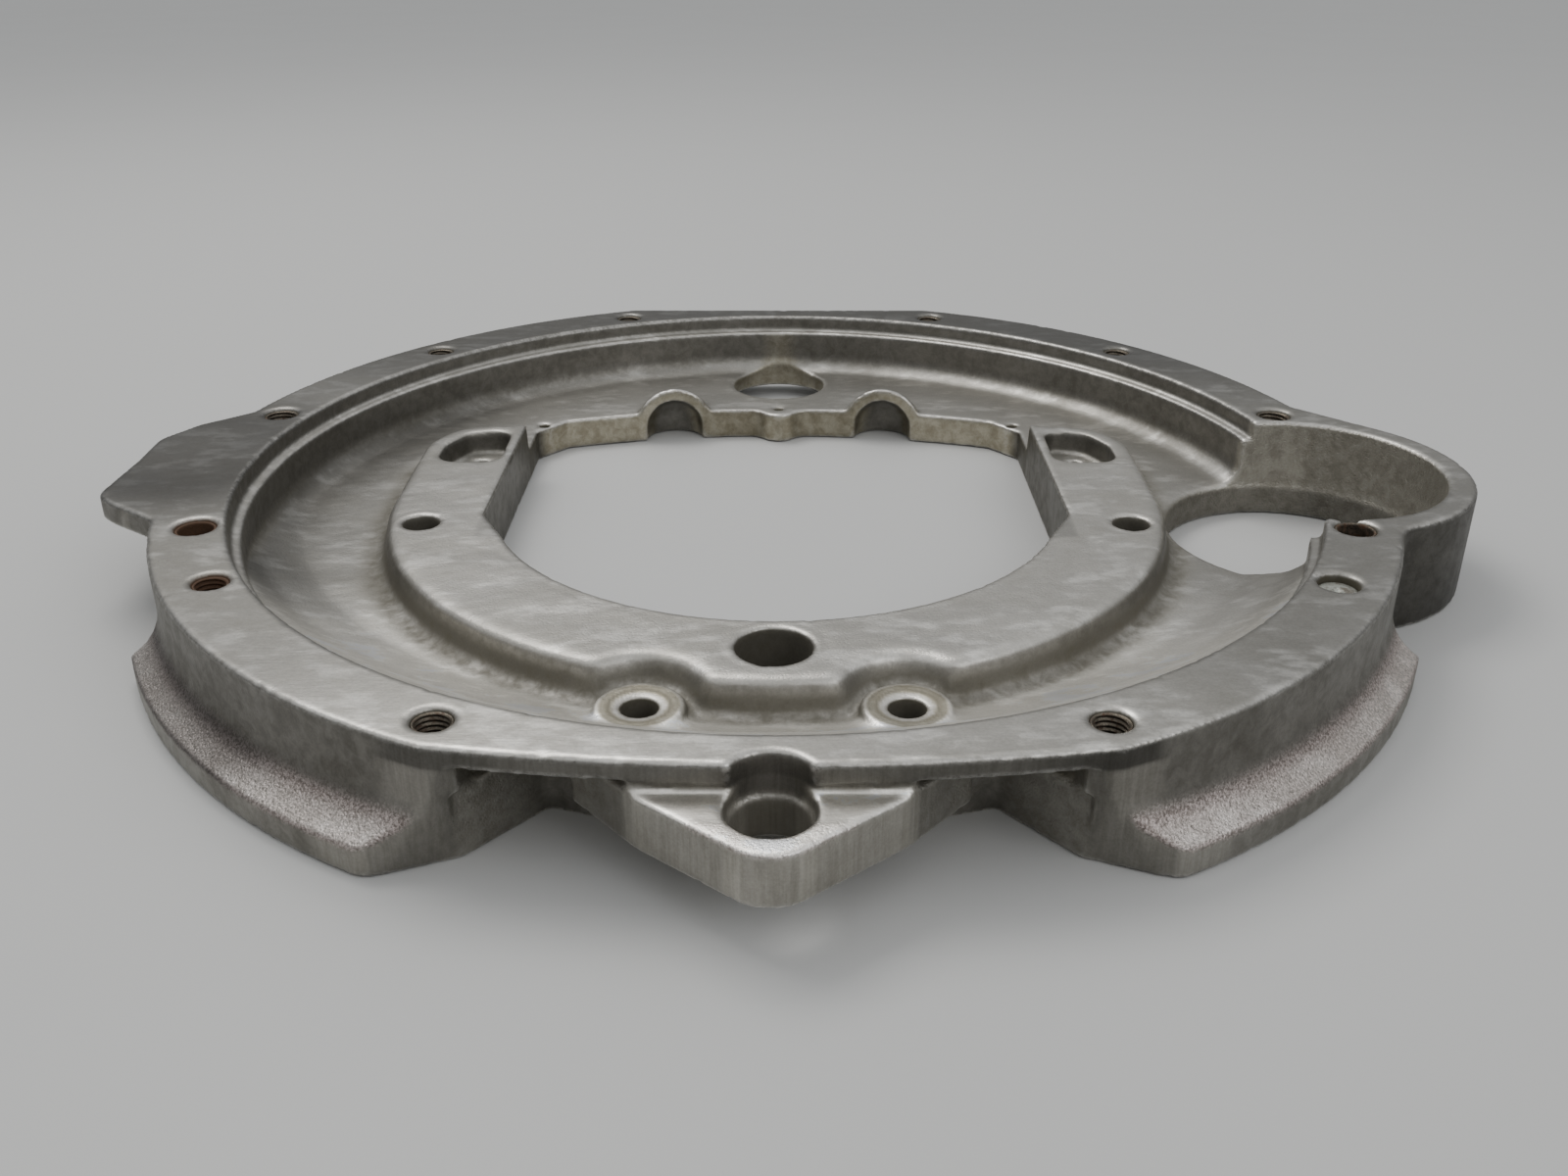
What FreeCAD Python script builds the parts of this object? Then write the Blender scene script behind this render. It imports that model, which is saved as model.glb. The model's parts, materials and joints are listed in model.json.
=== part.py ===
import FreeCAD, Part
import math
import os

# Engine-to-gearbox adapter plate: one machined light-alloy casting with the steel pieces that it carries.
# The row frame has +Z along the crankshaft axis, towards the gearbox. The origin is on that axis, in the
# engine face that the plate lies on. +Y is the rear, or upper, side and +X is the starter motor's side.

# --- Driving dimensions, in millimetres -------------------------------------------------------------------

PLATE_HEIGHT = 38.0         # engine face to gearbox face
BAND_R = 212.0              # outside of the bolting band
LIP_R = 188.0               # register lip inside the band
LEDGE_R = 184.4             # wall below the register's ledge
LEDGE_Z = 31.0
WEB_TOP = 13.0              # floor of the dished web
WEB_FILLET = 8.0            # cast radius where the web meets the ring wall
REAR_CHORD_Y = 200.0        # the band is cut straight at the rear
FRONT_EDGE = ((-85.0, -194.0), (0.0, -202.0), (85.0, -194.0))

RAMP_CENTRE_Y = 36.0        # the front of the web climbs to the band, turned about this point
RAMP_PROFILE = ((178.0, 13.0), (192.7, 17.6), (209.9, 29.5), (226.5, 38.0))      # radius and height
RAMP_TAIL = 20.0            # how far its level tail runs on inside the web
RAMP_ROOT_Z = 1.0
RAMP_UNDER_BAND = 2.0       # and how far it runs on into the ring wall

PLATEAU_TOP = 24.5          # raised horseshoe round the crankshaft opening
PLATEAU_R = 138.5
PLATEAU_SIDE_X = 139.5
PLATEAU_REAR_Y = 73.0
PLATEAU_CORNER_R = 26.0
PLATEAU_DRAFT = 3.0         # how far its foot stands out beyond its top edge
PLATEAU_ARM_INSET = 1.0     # the front arc ends this far inside the side
PLATEAU_ROOT_Z = 8.0        # its foot is buried in the web
SCALLOP_R = 19.0
SCALLOP_DRAFT = 5.0
SCALLOP_FILLET = 5.0

OPENING_R = 101.5           # front arc of the crankshaft opening
OPENING_SIDE_X = 103.3
OPENING_SIDE_FRONT_Y = -20.0
OPENING_SHOULDER_X = 94.0   # where the side walls run into the front arc
OPENING_SIDE_REAR_Y = 96.0
OPENING_REAR_X = 92.0
OPENING_REAR_Y = 109.5
OPENING_REAR_MID_Y = 124.5

NOTCH_X = 46.0              # two half-round notches through the rear rim
NOTCH_R = 12.2
NOTCH_AXIS_Z = 6.0
NOTCH_HUMP_R = 17.5
NOTCH_BACK_Y = 120.0        # both the tunnel and the arch end in a ball about here
NOTCH_FRONT_Y = 90.0        # inside the opening, where the tunnel starts
HUMP_FRONT_Y = 100.0
HUMP_FLOOR_Z = 1.0

EYE_Y = 162.0               # round lightening hole behind the opening
EYE_R = 20.8
RELIEF_TOP = 5.5            # shallow channel in the engine face, from the eye to the rear edge
RELIEF_X = 30.0
RELIEF_FRONT_Y = 137.0
RELIEF_CORNER_R = 9.0

BOSS_X = 37.5               # two spotfaced bolt holes in front of the plateau
BOSS_Y = -141.5
BOSS_FACE_Z = 18.0
BOSS_FACE_R = 11.4
BOSS_HOLE_R = 5.4
BOSS_PAD_R = 13.4
BOSS_PAD_TOP = 18.2
BOSS_PAD_ROOT_Z = 1.0

FRONT_HOLE_Y = -118.0       # large hole in the plateau
FRONT_HOLE_R = 11.5
SIDE_HOLE_X = 123.8         # one hole in each arm of the plateau
SIDE_HOLE_Y = -27.5
SIDE_HOLE_R = 6.2

STARTER_X = 189.0           # half-open pocket for the starter motor's nose
STARTER_Y = -8.5
STARTER_BORE_R = 46.0
STARTER_POCKET_R = 46.8
STARTER_WALL_R = 56.0
STARTER_FILLET = 14.0
STARTER_BLEND_DEPTH = 9.0   # how far the blend reaches into both walls
STARTER_STEP_Z = 11.5       # the register is below it, the wider pocket above
STARTER_JOIN = (204.0, 57.0)
STARTER_INSIDE = (180.0, 40.0)

LOBE_R = 222.0              # feet of the casting on both front corners
LOBE_INNER_R = 196.0
COVE_R = 18.0
COVE_CENTRE_R = 229.5
COVE_CENTRE_Z = 25.5
LOBE_TOP_Z = 34.0
LOBE_START_DEG = 205.5      # from +X, anticlockwise
LOBE_END_DEG = 245.5
LOBE_FRONT = ((-112.0, -199.0), (-98.5, -195.4), (-85.0, -194.0))     # milled end of the foot
LOBE_CORNER_R = 8.0         # between the foot's outside and its milled end
LOBE_CORNER_BREAK = 0.05    # the rounding stands this far proud, so that it crosses both walls
SLANT_TOP = (-80.0, -194.0)          # under the band, where the recess's slanted wall starts
SLANT_PER_X = 0.4                    # how fast that wall runs back towards the middle
SLANT_PER_Z = 0.1875                 # and towards the engine face
SLANT_X = (-112.0, -56.0)

TAB_BOTTOM = 13.5           # bracing lug at the front, clear of the floor
TAB_TOP = 29.0
TAB_APEX_Y = -229.0
TAB_APEX_FILLET = 13.0
TAB_SIDE_POINT = (33.0, -202.5)
TAB_ROOT_POINT = (51.0, -182.0)
TAB_ROOT_Y = -172.0         # its root ends in the wall behind the recess
TAB_ROOT_MIDDLE_Y = -176.0
TAB_BLOCK_X = 35.0
TAB_BLOCK_FRONT_Y = -198.4
TAB_BLOCK_BACK_Y = -189.5
TAB_HOLE_Y = -207.0
TAB_HOLE_R = 9.8
TAB_COUNTERBORE_R = 11.2
TAB_COUNTERBORE_Z = 25.0
TAB_BLOCK_TOP = 36.0
TAB_FILLET = 5.0

FLANGE_THICKNESS = 6.0      # of the band where it bridges the front recess
RECESS_BACK_R = 176.5
RECESS_UPPER_BACK_R = 190.0
RECESS_STEP_Z = 22.0
RECESS_INNER = (60.0, -166.0)        # corners of the recess's side walls
RECESS_OUTER = (80.0, -189.0)
RECESS_UPPER_BACK_X = 76.0
RECESS_UPPER_FRONT_X = 84.0

EAR_BOTTOM = 29.5           # thin lug on the left
EAR_OUTLINE = (
    (-196.0, 62.0), (-207.0, 49.0), (-222.0, 35.0), (-231.0, 19.0), (-230.0, -3.0),
    (-231.0, -36.0), (-222.0, -44.0), (-212.0, -51.0), (-204.0, -57.0), (-197.0, -66.0), (-185.0, -40.0),
)
EAR_ROUNDED = ((-222.0, 35.0), (-231.0, 19.0), (-231.0, -36.0))
EAR_FILLET = 12.0

SCOOP_DEPTH_Z = 15.0        # hollows at the rear ends of the plateau
SCOOP_OUTLINE = ((107.5, 31.5), (131.5, 32.5), (131.0, 50.0), (125.0, 62.5), (108.0, 68.0))
SCOOP_FILLET = 7.0
SCOOP_HOLE = (119.0, 54.0)
SCOOP_HOLE_R = 3.4
RIM_HOLES = ((-101.5, 104.0), (101.5, 104.0), (0.0, 126.5))
RIM_HOLE_R = 2.1            # tapping size of M5 screws
RIM_HOLE_DEPTH = 10.0
RIM_BUMP_FRONT_Y = 117.6    # thickening of the rim, its outline from the middle outwards
RIM_BUMP_TURN = (6.3, 120.6)
RIM_BUMP_HOLLOW = (9.2, 123.1)
RIM_BUMP_END = (13.5, 124.6)
RIM_BUMP_ROOT = 3.0

SCREW_R = 4.25              # tapping size of the M10 gearbox screws
LARGE_SCREW_R = 5.1         # tapping size of the two M12 screws
INSERT_WALL = 1.15
INSERT_LENGTH = 18.0
INSERT_SET_BACK = 1.2
CHAMFER = 0.9
BOLT_CIRCLE_R = 200.0

# name of the insert, angle from +X in degrees, distance from the axis, tapping radius
TAPPED_HOLES = (
    ("insert_rear_right_outer", 13.8, BOLT_CIRCLE_R, LARGE_SCREW_R),
    ("insert_rear_right_middle", 41.4, BOLT_CIRCLE_R, SCREW_R),
    ("insert_rear_right_inner", 69.0, BOLT_CIRCLE_R, SCREW_R),
    ("insert_rear_left_inner", 111.0, BOLT_CIRCLE_R, SCREW_R),
    ("insert_rear_left_middle", 138.6, BOLT_CIRCLE_R, SCREW_R),
    ("insert_rear_left_outer", 166.2, BOLT_CIRCLE_R, LARGE_SCREW_R),
    ("insert_left_lower", -148.5, 197.0, SCREW_R),
    ("insert_front_left", -115.0, BOLT_CIRCLE_R, SCREW_R),
    ("insert_front_right", -65.0, BOLT_CIRCLE_R, SCREW_R),
)

DOWEL_R = 5.6               # bore of the two hollow dowels
DOWEL_WALL = 0.9
DOWEL_LENGTH = 14.0
DOWEL_SET_BACK = 1.2
DOWELS = (("hollow_dowel_left", -161.6, 197.5), ("hollow_dowel_right", -18.4, 197.5))

PLUG_R = 6.2                # plug driven into the blind hole beside the right dowel
PLUG_ANGLE = -31.5
PLUG_CENTRE_R = 197.0
PLUG_TOP = 35.2
PLUG_LENGTH = 9.0
PLUG_DIMPLE_R = 1.6
PLUG_DIMPLE_DEPTH = 1.0

BIG = 300.0
OVERLAP = 0.5
Y_AXIS = FreeCAD.Vector(0, 1, 0)
Z_AXIS = FreeCAD.Vector(0, 0, 1)


# --- Helpers ----------------------------------------------------------------------------------------------

def point(x, y, z=0.0):
    return FreeCAD.Vector(x, y, z)


def polar(radius, degrees, z=0.0):
    angle = math.radians(degrees)
    return point(radius * math.cos(angle), radius * math.sin(angle), z)


def line(start, end):
    return Part.LineSegment(start, end).toShape()


def arc(start, middle, end):
    return Part.Arc(start, middle, end).toShape()


def prism(edges, low, high):
    face = Part.Face(Part.Wire(Part.__sortEdges__(edges)))
    face.translate(point(0, 0, low))
    return face.extrude(point(0, 0, high - low))


def polygon_prism(corners, low, high):
    points = [point(x, y) for x, y in corners]
    return prism([line(a, b) for a, b in zip(points, points[1:] + points[:1])], low, high)


def cylinder(radius, x, y, low, high):
    return Part.makeCylinder(radius, high - low, point(x, y, low), Z_AXIS)


def revolved(edges):
    """A full turn about Z of a closed outline in the XZ plane."""
    face = Part.Face(Part.Wire(Part.__sortEdges__(edges)))
    return face.revolve(point(0, 0), Z_AXIS, 360)


def revolved_polygon(corners):
    points = [point(r, 0, z) for r, z in corners]
    return revolved([line(a, b) for a, b in zip(points, points[1:] + points[:1])])


def mirrored(shape):
    return shape.mirror(point(0, 0), point(1, 0, 0))


def both_sides(shape):
    return [shape, mirrored(shape)]


def joined(first, others):
    return first.fuse(others).removeSplitter()


def filleted(shape, radius, wanted):
    edges = [edge for edge in shape.Edges if wanted(edge)]
    return shape.makeFillet(radius, edges) if edges else shape


def is_upright_at(edge, x, y, reach):
    """True for a vertical edge within reach of (x, y)."""
    box = edge.BoundBox
    upright = box.ZLength > 1.0 and box.XLength < 0.1 and box.YLength < 0.1
    return upright and math.hypot(box.Center.x - x, box.Center.y - y) < reach


def tangent_point(start, centre_x, centre_y, radius, side):
    """Where a line from start touches a circle; side is +1 or -1."""
    dx = start[0] - centre_x
    dy = start[1] - centre_y
    away = math.hypot(dx, dy)
    turn = side * math.acos(radius / away)
    heading = math.atan2(dy, dx) + turn
    return centre_x + radius * math.cos(heading), centre_y + radius * math.sin(heading)


# --- The casting ------------------------------------------------------------------------------------------

def band_outline_cut():
    """Everything outside the flattened front and rear edges of the band."""
    left, middle, right = (point(x, y) for x, y in FRONT_EDGE)
    front = prism(
        [
            arc(left, middle, right),
            line(right, point(right.x, -BIG)),
            line(point(right.x, -BIG), point(left.x, -BIG)),
            line(point(left.x, -BIG), left),
        ],
        -OVERLAP,
        PLATE_HEIGHT + OVERLAP,
    )
    rear = Part.makeBox(2 * BIG, BIG, PLATE_HEIGHT + 2 * OVERLAP, point(-BIG, REAR_CHORD_Y, -OVERLAP))
    return [front, rear]


def ring_and_web():
    """The ring wall with its register and the dished web, as one turned shape."""
    fillet_r = LEDGE_R - WEB_FILLET
    fillet_z = WEB_TOP + WEB_FILLET
    half = math.sqrt(0.5) * WEB_FILLET
    outline = [
        line(point(0, 0, 0), point(BAND_R, 0, 0)),
        line(point(BAND_R, 0, 0), point(BAND_R, 0, PLATE_HEIGHT)),
        line(point(BAND_R, 0, PLATE_HEIGHT), point(LIP_R, 0, PLATE_HEIGHT)),
        line(point(LIP_R, 0, PLATE_HEIGHT), point(LIP_R, 0, LEDGE_Z)),
        line(point(LIP_R, 0, LEDGE_Z), point(LEDGE_R, 0, LEDGE_Z)),
        line(point(LEDGE_R, 0, LEDGE_Z), point(LEDGE_R, 0, fillet_z)),
        arc(
            point(LEDGE_R, 0, fillet_z),
            point(fillet_r + half, 0, fillet_z - half),
            point(fillet_r, 0, WEB_TOP),
        ),
        line(point(fillet_r, 0, WEB_TOP), point(0, 0, WEB_TOP)),
        line(point(0, 0, WEB_TOP), point(0, 0, 0)),
    ]
    return revolved(outline)


def front_ramp():
    """The turned slope along which the front of the web climbs to the band."""
    tail_r = RAMP_PROFILE[0][0] - RAMP_TAIL
    below = [(BIG, PLATE_HEIGHT), (BIG, RAMP_ROOT_Z), (tail_r, RAMP_ROOT_Z), (tail_r, WEB_TOP - 1.0)]
    slope = revolved_polygon(list(RAMP_PROFILE) + below)
    slope.translate(point(0, RAMP_CENTRE_Y))
    inside = cylinder(LIP_R + RAMP_UNDER_BAND, 0, 0, 0, PLATE_HEIGHT)
    return slope.common(inside)


def plateau():
    """The raised horseshoe, drafted from its foot to its top edge, with the two scallops."""
    def outline(grow):
        side = PLATEAU_SIDE_X + grow
        radius = PLATEAU_R + grow
        rear = PLATEAU_REAR_Y + grow
        corner = PLATEAU_CORNER_R + grow
        arm_x = side - PLATEAU_ARM_INSET
        arm_y = -math.sqrt(max(radius ** 2 - arm_x ** 2, 1.0))
        diagonal = corner * math.sqrt(0.5)
        middle = point(side - corner + diagonal, rear - corner + diagonal)
        start_right = point(side, rear - corner)
        end_right = point(side - corner, rear)
        return [
            arc(point(-arm_x, arm_y), point(0, -radius), point(arm_x, arm_y)),
            line(point(arm_x, arm_y), start_right),
            arc(start_right, middle, end_right),
            line(end_right, point(-end_right.x, rear)),
            arc(point(-end_right.x, rear), point(-middle.x, middle.y), point(-side, start_right.y)),
            line(point(-side, start_right.y), point(-arm_x, arm_y)),
        ]

    foot = Part.Wire(Part.__sortEdges__(outline(PLATEAU_DRAFT)))
    foot.translate(point(0, 0, PLATEAU_ROOT_Z))
    top = Part.Wire(Part.__sortEdges__(outline(0.0)))
    top.translate(point(0, 0, PLATEAU_TOP))
    body = Part.makeLoft([foot, top], True)
    depth = PLATEAU_TOP - PLATEAU_ROOT_Z
    start = point(BOSS_X, BOSS_Y, PLATEAU_ROOT_Z)
    scallop = Part.makeCone(SCALLOP_R - SCALLOP_DRAFT, SCALLOP_R, depth + 1.0, start, Z_AXIS)
    body = body.cut(both_sides(scallop))

    def beside_a_scallop(edge):
        box = edge.BoundBox
        upright = box.ZLength > depth / 2 and max(box.XLength, box.YLength) < depth / 2
        away = math.hypot(abs(box.Center.x) - BOSS_X, box.Center.y - BOSS_Y)
        return upright and away < SCALLOP_R + PLATEAU_DRAFT

    return filleted(body, SCALLOP_FILLET, beside_a_scallop)


def notch_humps():
    """The two arches over the notches in the rear rim."""
    humps = []
    for x in (-NOTCH_X, NOTCH_X):
        start = point(x, HUMP_FRONT_Y, NOTCH_AXIS_Z)
        hump = Part.makeCylinder(NOTCH_HUMP_R, NOTCH_BACK_Y - HUMP_FRONT_Y, start, Y_AXIS)
        nose = Part.makeSphere(NOTCH_HUMP_R, point(x, NOTCH_BACK_Y, NOTCH_AXIS_Z))
        below = Part.makeBox(BIG, BIG, BIG, point(x - BIG / 2, 0, HUMP_FLOOR_Z - BIG))
        humps.append(hump.fuse(nose).cut(below))
    return humps


def rim_bump():
    """The thickening round the middle screw hole of the rear rim, blended into the rim."""
    end_x, end_y = RIM_BUMP_END
    turn_x, turn_y = RIM_BUMP_TURN
    hollow_x, hollow_y = RIM_BUMP_HOLLOW
    back_y = end_y + RIM_BUMP_ROOT
    outline = [
        arc(point(-end_x, end_y), point(-hollow_x, hollow_y), point(-turn_x, turn_y)),
        arc(point(-turn_x, turn_y), point(0, RIM_BUMP_FRONT_Y), point(turn_x, turn_y)),
        arc(point(turn_x, turn_y), point(hollow_x, hollow_y), point(end_x, end_y)),
        line(point(end_x, end_y), point(end_x, back_y)),
        line(point(end_x, back_y), point(-end_x, back_y)),
        line(point(-end_x, back_y), point(-end_x, end_y)),
    ]
    return prism(outline, 0, WEB_TOP)


def rear_relief():
    """The shallow channel that leaves the web thin round the eye."""
    length = BIG - RELIEF_FRONT_Y
    start = point(-RELIEF_X, RELIEF_FRONT_Y, -OVERLAP)
    channel = Part.makeBox(2 * RELIEF_X, length, RELIEF_TOP + OVERLAP, start)

    def at_a_front_corner(edge):
        corners = (-RELIEF_X, RELIEF_X)
        return any(is_upright_at(edge, x, RELIEF_FRONT_Y, 1.0) for x in corners)

    return filleted(channel, RELIEF_CORNER_R, at_a_front_corner)


def crankshaft_opening():
    """The D-shaped opening, with the rear rim's shallow arc."""
    side = OPENING_SIDE_X
    rear_left = point(-OPENING_REAR_X, OPENING_REAR_Y)
    rear_right = point(OPENING_REAR_X, OPENING_REAR_Y)
    shoulder_x = OPENING_SHOULDER_X
    shoulder_y = -math.sqrt(OPENING_R ** 2 - shoulder_x ** 2)
    rear = prism(
        [
            line(point(-shoulder_x, shoulder_y), point(shoulder_x, shoulder_y)),
            line(point(shoulder_x, shoulder_y), point(side, OPENING_SIDE_FRONT_Y)),
            line(point(side, OPENING_SIDE_FRONT_Y), point(side, OPENING_SIDE_REAR_Y)),
            line(point(side, OPENING_SIDE_REAR_Y), rear_right),
            arc(rear_right, point(0, OPENING_REAR_MID_Y), rear_left),
            line(rear_left, point(-side, OPENING_SIDE_REAR_Y)),
            line(point(-side, OPENING_SIDE_REAR_Y), point(-side, OPENING_SIDE_FRONT_Y)),
            line(point(-side, OPENING_SIDE_FRONT_Y), point(-shoulder_x, shoulder_y)),
        ],
        -OVERLAP,
        PLATE_HEIGHT,
    )
    front = cylinder(OPENING_R, 0, 0, -OVERLAP, PLATE_HEIGHT)
    cut_back = Part.makeBox(2 * BIG, BIG, BIG, point(-BIG, shoulder_y + 1.0, -1.0))
    return joined(rear, [front.cut(cut_back)])


def notches():
    """Half-round tunnels with straight sides down to the engine face."""
    cuts = []
    for x in (-NOTCH_X, NOTCH_X):
        start = point(x, NOTCH_FRONT_Y, NOTCH_AXIS_Z)
        length = NOTCH_BACK_Y - NOTCH_FRONT_Y
        cuts.append(Part.makeCylinder(NOTCH_R, length, start, Y_AXIS))
        cuts.append(Part.makeSphere(NOTCH_R, point(x, NOTCH_BACK_Y, NOTCH_AXIS_Z)))
        side = point(x - NOTCH_R, NOTCH_FRONT_Y, -OVERLAP)
        cuts.append(Part.makeBox(2 * NOTCH_R, length, NOTCH_AXIS_Z + OVERLAP, side))
        cuts.append(cylinder(NOTCH_R, x, NOTCH_BACK_Y, -OVERLAP, NOTCH_AXIS_Z))
    return cuts


def starter_housing():
    """The full-height wall round the starter pocket, blended into the band."""
    circle = cylinder(STARTER_WALL_R, STARTER_X, STARTER_Y, 0, PLATE_HEIGHT)
    touch = tangent_point(STARTER_JOIN, STARTER_X, STARTER_Y, STARTER_WALL_R, -1)
    web = polygon_prism([STARTER_JOIN, touch, (STARTER_X, STARTER_Y), STARTER_INSIDE], 0, PLATE_HEIGHT)
    dish = cylinder(LIP_R, 0, 0, -OVERLAP, PLATE_HEIGHT + OVERLAP)
    return [circle.cut(dish), web.cut(dish), starter_front_blend()]


def starter_front_blend():
    """The hollow corner between the starter wall and the band, rounded to STARTER_FILLET."""
    to_band = BAND_R + STARTER_FILLET
    to_wall = STARTER_WALL_R + STARTER_FILLET
    apart = math.hypot(STARTER_X, STARTER_Y)
    along = (to_band ** 2 - to_wall ** 2 + apart ** 2) / (2 * apart)
    across = math.sqrt(to_band ** 2 - along ** 2)
    ahead = point(STARTER_X / apart, STARTER_Y / apart)
    centre = ahead * along + point(ahead.y, -ahead.x) * across
    wall_centre = point(STARTER_X, STARTER_Y)
    on_band = centre * (BAND_R / to_band)
    on_wall = wall_centre + (centre - wall_centre) * (STARTER_WALL_R / to_wall)
    towards = ((on_band + on_wall) * 0.5 - centre).normalize()
    inner = centre + towards * (STARTER_FILLET + STARTER_BLEND_DEPTH)
    outline = [
        arc(on_band, centre + towards * STARTER_FILLET, on_wall),
        line(on_wall, inner),
        line(inner, on_band),
    ]
    return prism(outline, 0, PLATE_HEIGHT)


def starter_pocket():
    upper = cylinder(STARTER_POCKET_R, STARTER_X, STARTER_Y, STARTER_STEP_Z, PLATE_HEIGHT + OVERLAP)
    lower = cylinder(STARTER_BORE_R, STARTER_X, STARTER_Y, -OVERLAP, PLATE_HEIGHT)
    return [upper, lower]


def left_lobe():
    """The foot on the left front corner, with the cove above it and its milled end."""
    cove_low_z = COVE_CENTRE_Z - math.sqrt(COVE_R ** 2 - (COVE_CENTRE_R - LOBE_R) ** 2)
    cove_top_r = COVE_CENTRE_R - COVE_R
    diagonal = COVE_R * math.sqrt(0.5)
    middle = point(COVE_CENTRE_R - diagonal, 0, COVE_CENTRE_Z - diagonal)
    foot = revolved(
        [
            line(point(LOBE_INNER_R, 0, 0), point(LOBE_R, 0, 0)),
            line(point(LOBE_R, 0, 0), point(LOBE_R, 0, cove_low_z)),
            arc(point(LOBE_R, 0, cove_low_z), middle, point(cove_top_r, 0, COVE_CENTRE_Z)),
            line(point(cove_top_r, 0, COVE_CENTRE_Z), point(cove_top_r, 0, LOBE_TOP_Z)),
            line(point(cove_top_r, 0, LOBE_TOP_Z), point(LOBE_INNER_R, 0, LOBE_TOP_Z)),
            line(point(LOBE_INNER_R, 0, LOBE_TOP_Z), point(LOBE_INNER_R, 0, 0)),
        ]
    )
    centre = point(0, 0)
    start = polar(BIG, LOBE_START_DEG)
    end = polar(BIG, LOBE_END_DEG)
    wedge = prism([line(centre, start), line(start, end), line(end, centre)], -OVERLAP, PLATE_HEIGHT)
    foot = foot.common(wedge)
    return foot.cut([in_front_of_the_foot(PLATE_HEIGHT), slanted_wall_cut(), outside_the_foot_corner()])


def in_front_of_the_foot(top):
    """Everything in front of the left foot's milled end."""
    outline = list(LOBE_FRONT) + [(LOBE_FRONT[-1][0], -BIG), (LOBE_FRONT[0][0], -BIG)]
    return polygon_prism(outline, -OVERLAP, top)


def outside_the_foot_corner():
    """Everything beyond the rounding between the left foot's outside and its milled end."""
    start = point(*LOBE_FRONT[0])
    end = point(*LOBE_FRONT[1])
    along = (end - start).normalize()
    forward = point(along.y, -along.x)
    from_axis = forward.dot(end) - LOBE_CORNER_R
    aside = math.sqrt((LOBE_R - LOBE_CORNER_R) ** 2 - from_axis ** 2)
    centre = forward * from_axis - along * aside
    outward = point(centre.x, centre.y).normalize()
    middle = (outward + forward).normalize()
    centre = centre + middle * LOBE_CORNER_BREAK
    reach = 2.0 * LOBE_CORNER_R
    corners = [centre, centre + outward * reach, centre + middle * (1.5 * reach), centre + forward * reach]
    outline = [(corner.x, corner.y) for corner in corners]
    return polygon_prism(outline, -OVERLAP, PLATE_HEIGHT).cut(
        cylinder(LOBE_CORNER_R, centre.x, centre.y, -2.0 * OVERLAP, PLATE_HEIGHT + OVERLAP)
    )


def slanted_wall_cut():
    """Everything in front of the slanted wall between the left foot and the recess."""
    corners = []
    top = PLATE_HEIGHT - FLANGE_THICKNESS
    for x, z in ((SLANT_X[0], -OVERLAP), (SLANT_X[0], top), (SLANT_X[1], top), (SLANT_X[1], -OVERLAP)):
        y = SLANT_TOP[1] + SLANT_PER_X * (x - SLANT_TOP[0]) - SLANT_PER_Z * (z - top)
        corners.append(point(x, y, z))
    edges = [line(a, b) for a, b in zip(corners, corners[1:] + corners[:1])]
    return Part.Face(Part.Wire(edges)).extrude(point(0, -BIG, 0))


def front_recess():
    """The open space under the band between the two feet."""
    inner = RECESS_INNER
    outer = RECESS_OUTER
    lower = prism(
        [
            arc(point(-inner[0], inner[1]), point(0, -RECESS_BACK_R), point(*inner)),
            line(point(*inner), point(*outer)),
            line(point(*outer), point(outer[0], -BIG)),
            line(point(outer[0], -BIG), point(-outer[0], -BIG)),
            line(point(-outer[0], -BIG), point(-outer[0], outer[1])),
            line(point(-outer[0], outer[1]), point(-inner[0], inner[1])),
        ],
        -OVERLAP,
        RECESS_STEP_Z,
    )
    corner = (RECESS_UPPER_BACK_X, -math.sqrt(RECESS_UPPER_BACK_R ** 2 - RECESS_UPPER_BACK_X ** 2))
    front_x = RECESS_UPPER_FRONT_X
    upper = prism(
        [
            arc(point(-corner[0], corner[1]), point(0, -RECESS_UPPER_BACK_R), point(*corner)),
            line(point(*corner), point(front_x, -BIG)),
            line(point(front_x, -BIG), point(-front_x, -BIG)),
            line(point(-front_x, -BIG), point(-corner[0], corner[1])),
        ],
        RECESS_STEP_Z - 1.0,
        PLATE_HEIGHT - FLANGE_THICKNESS,
    )
    return [lower, upper] + both_sides(slanted_wall_cut())


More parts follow.
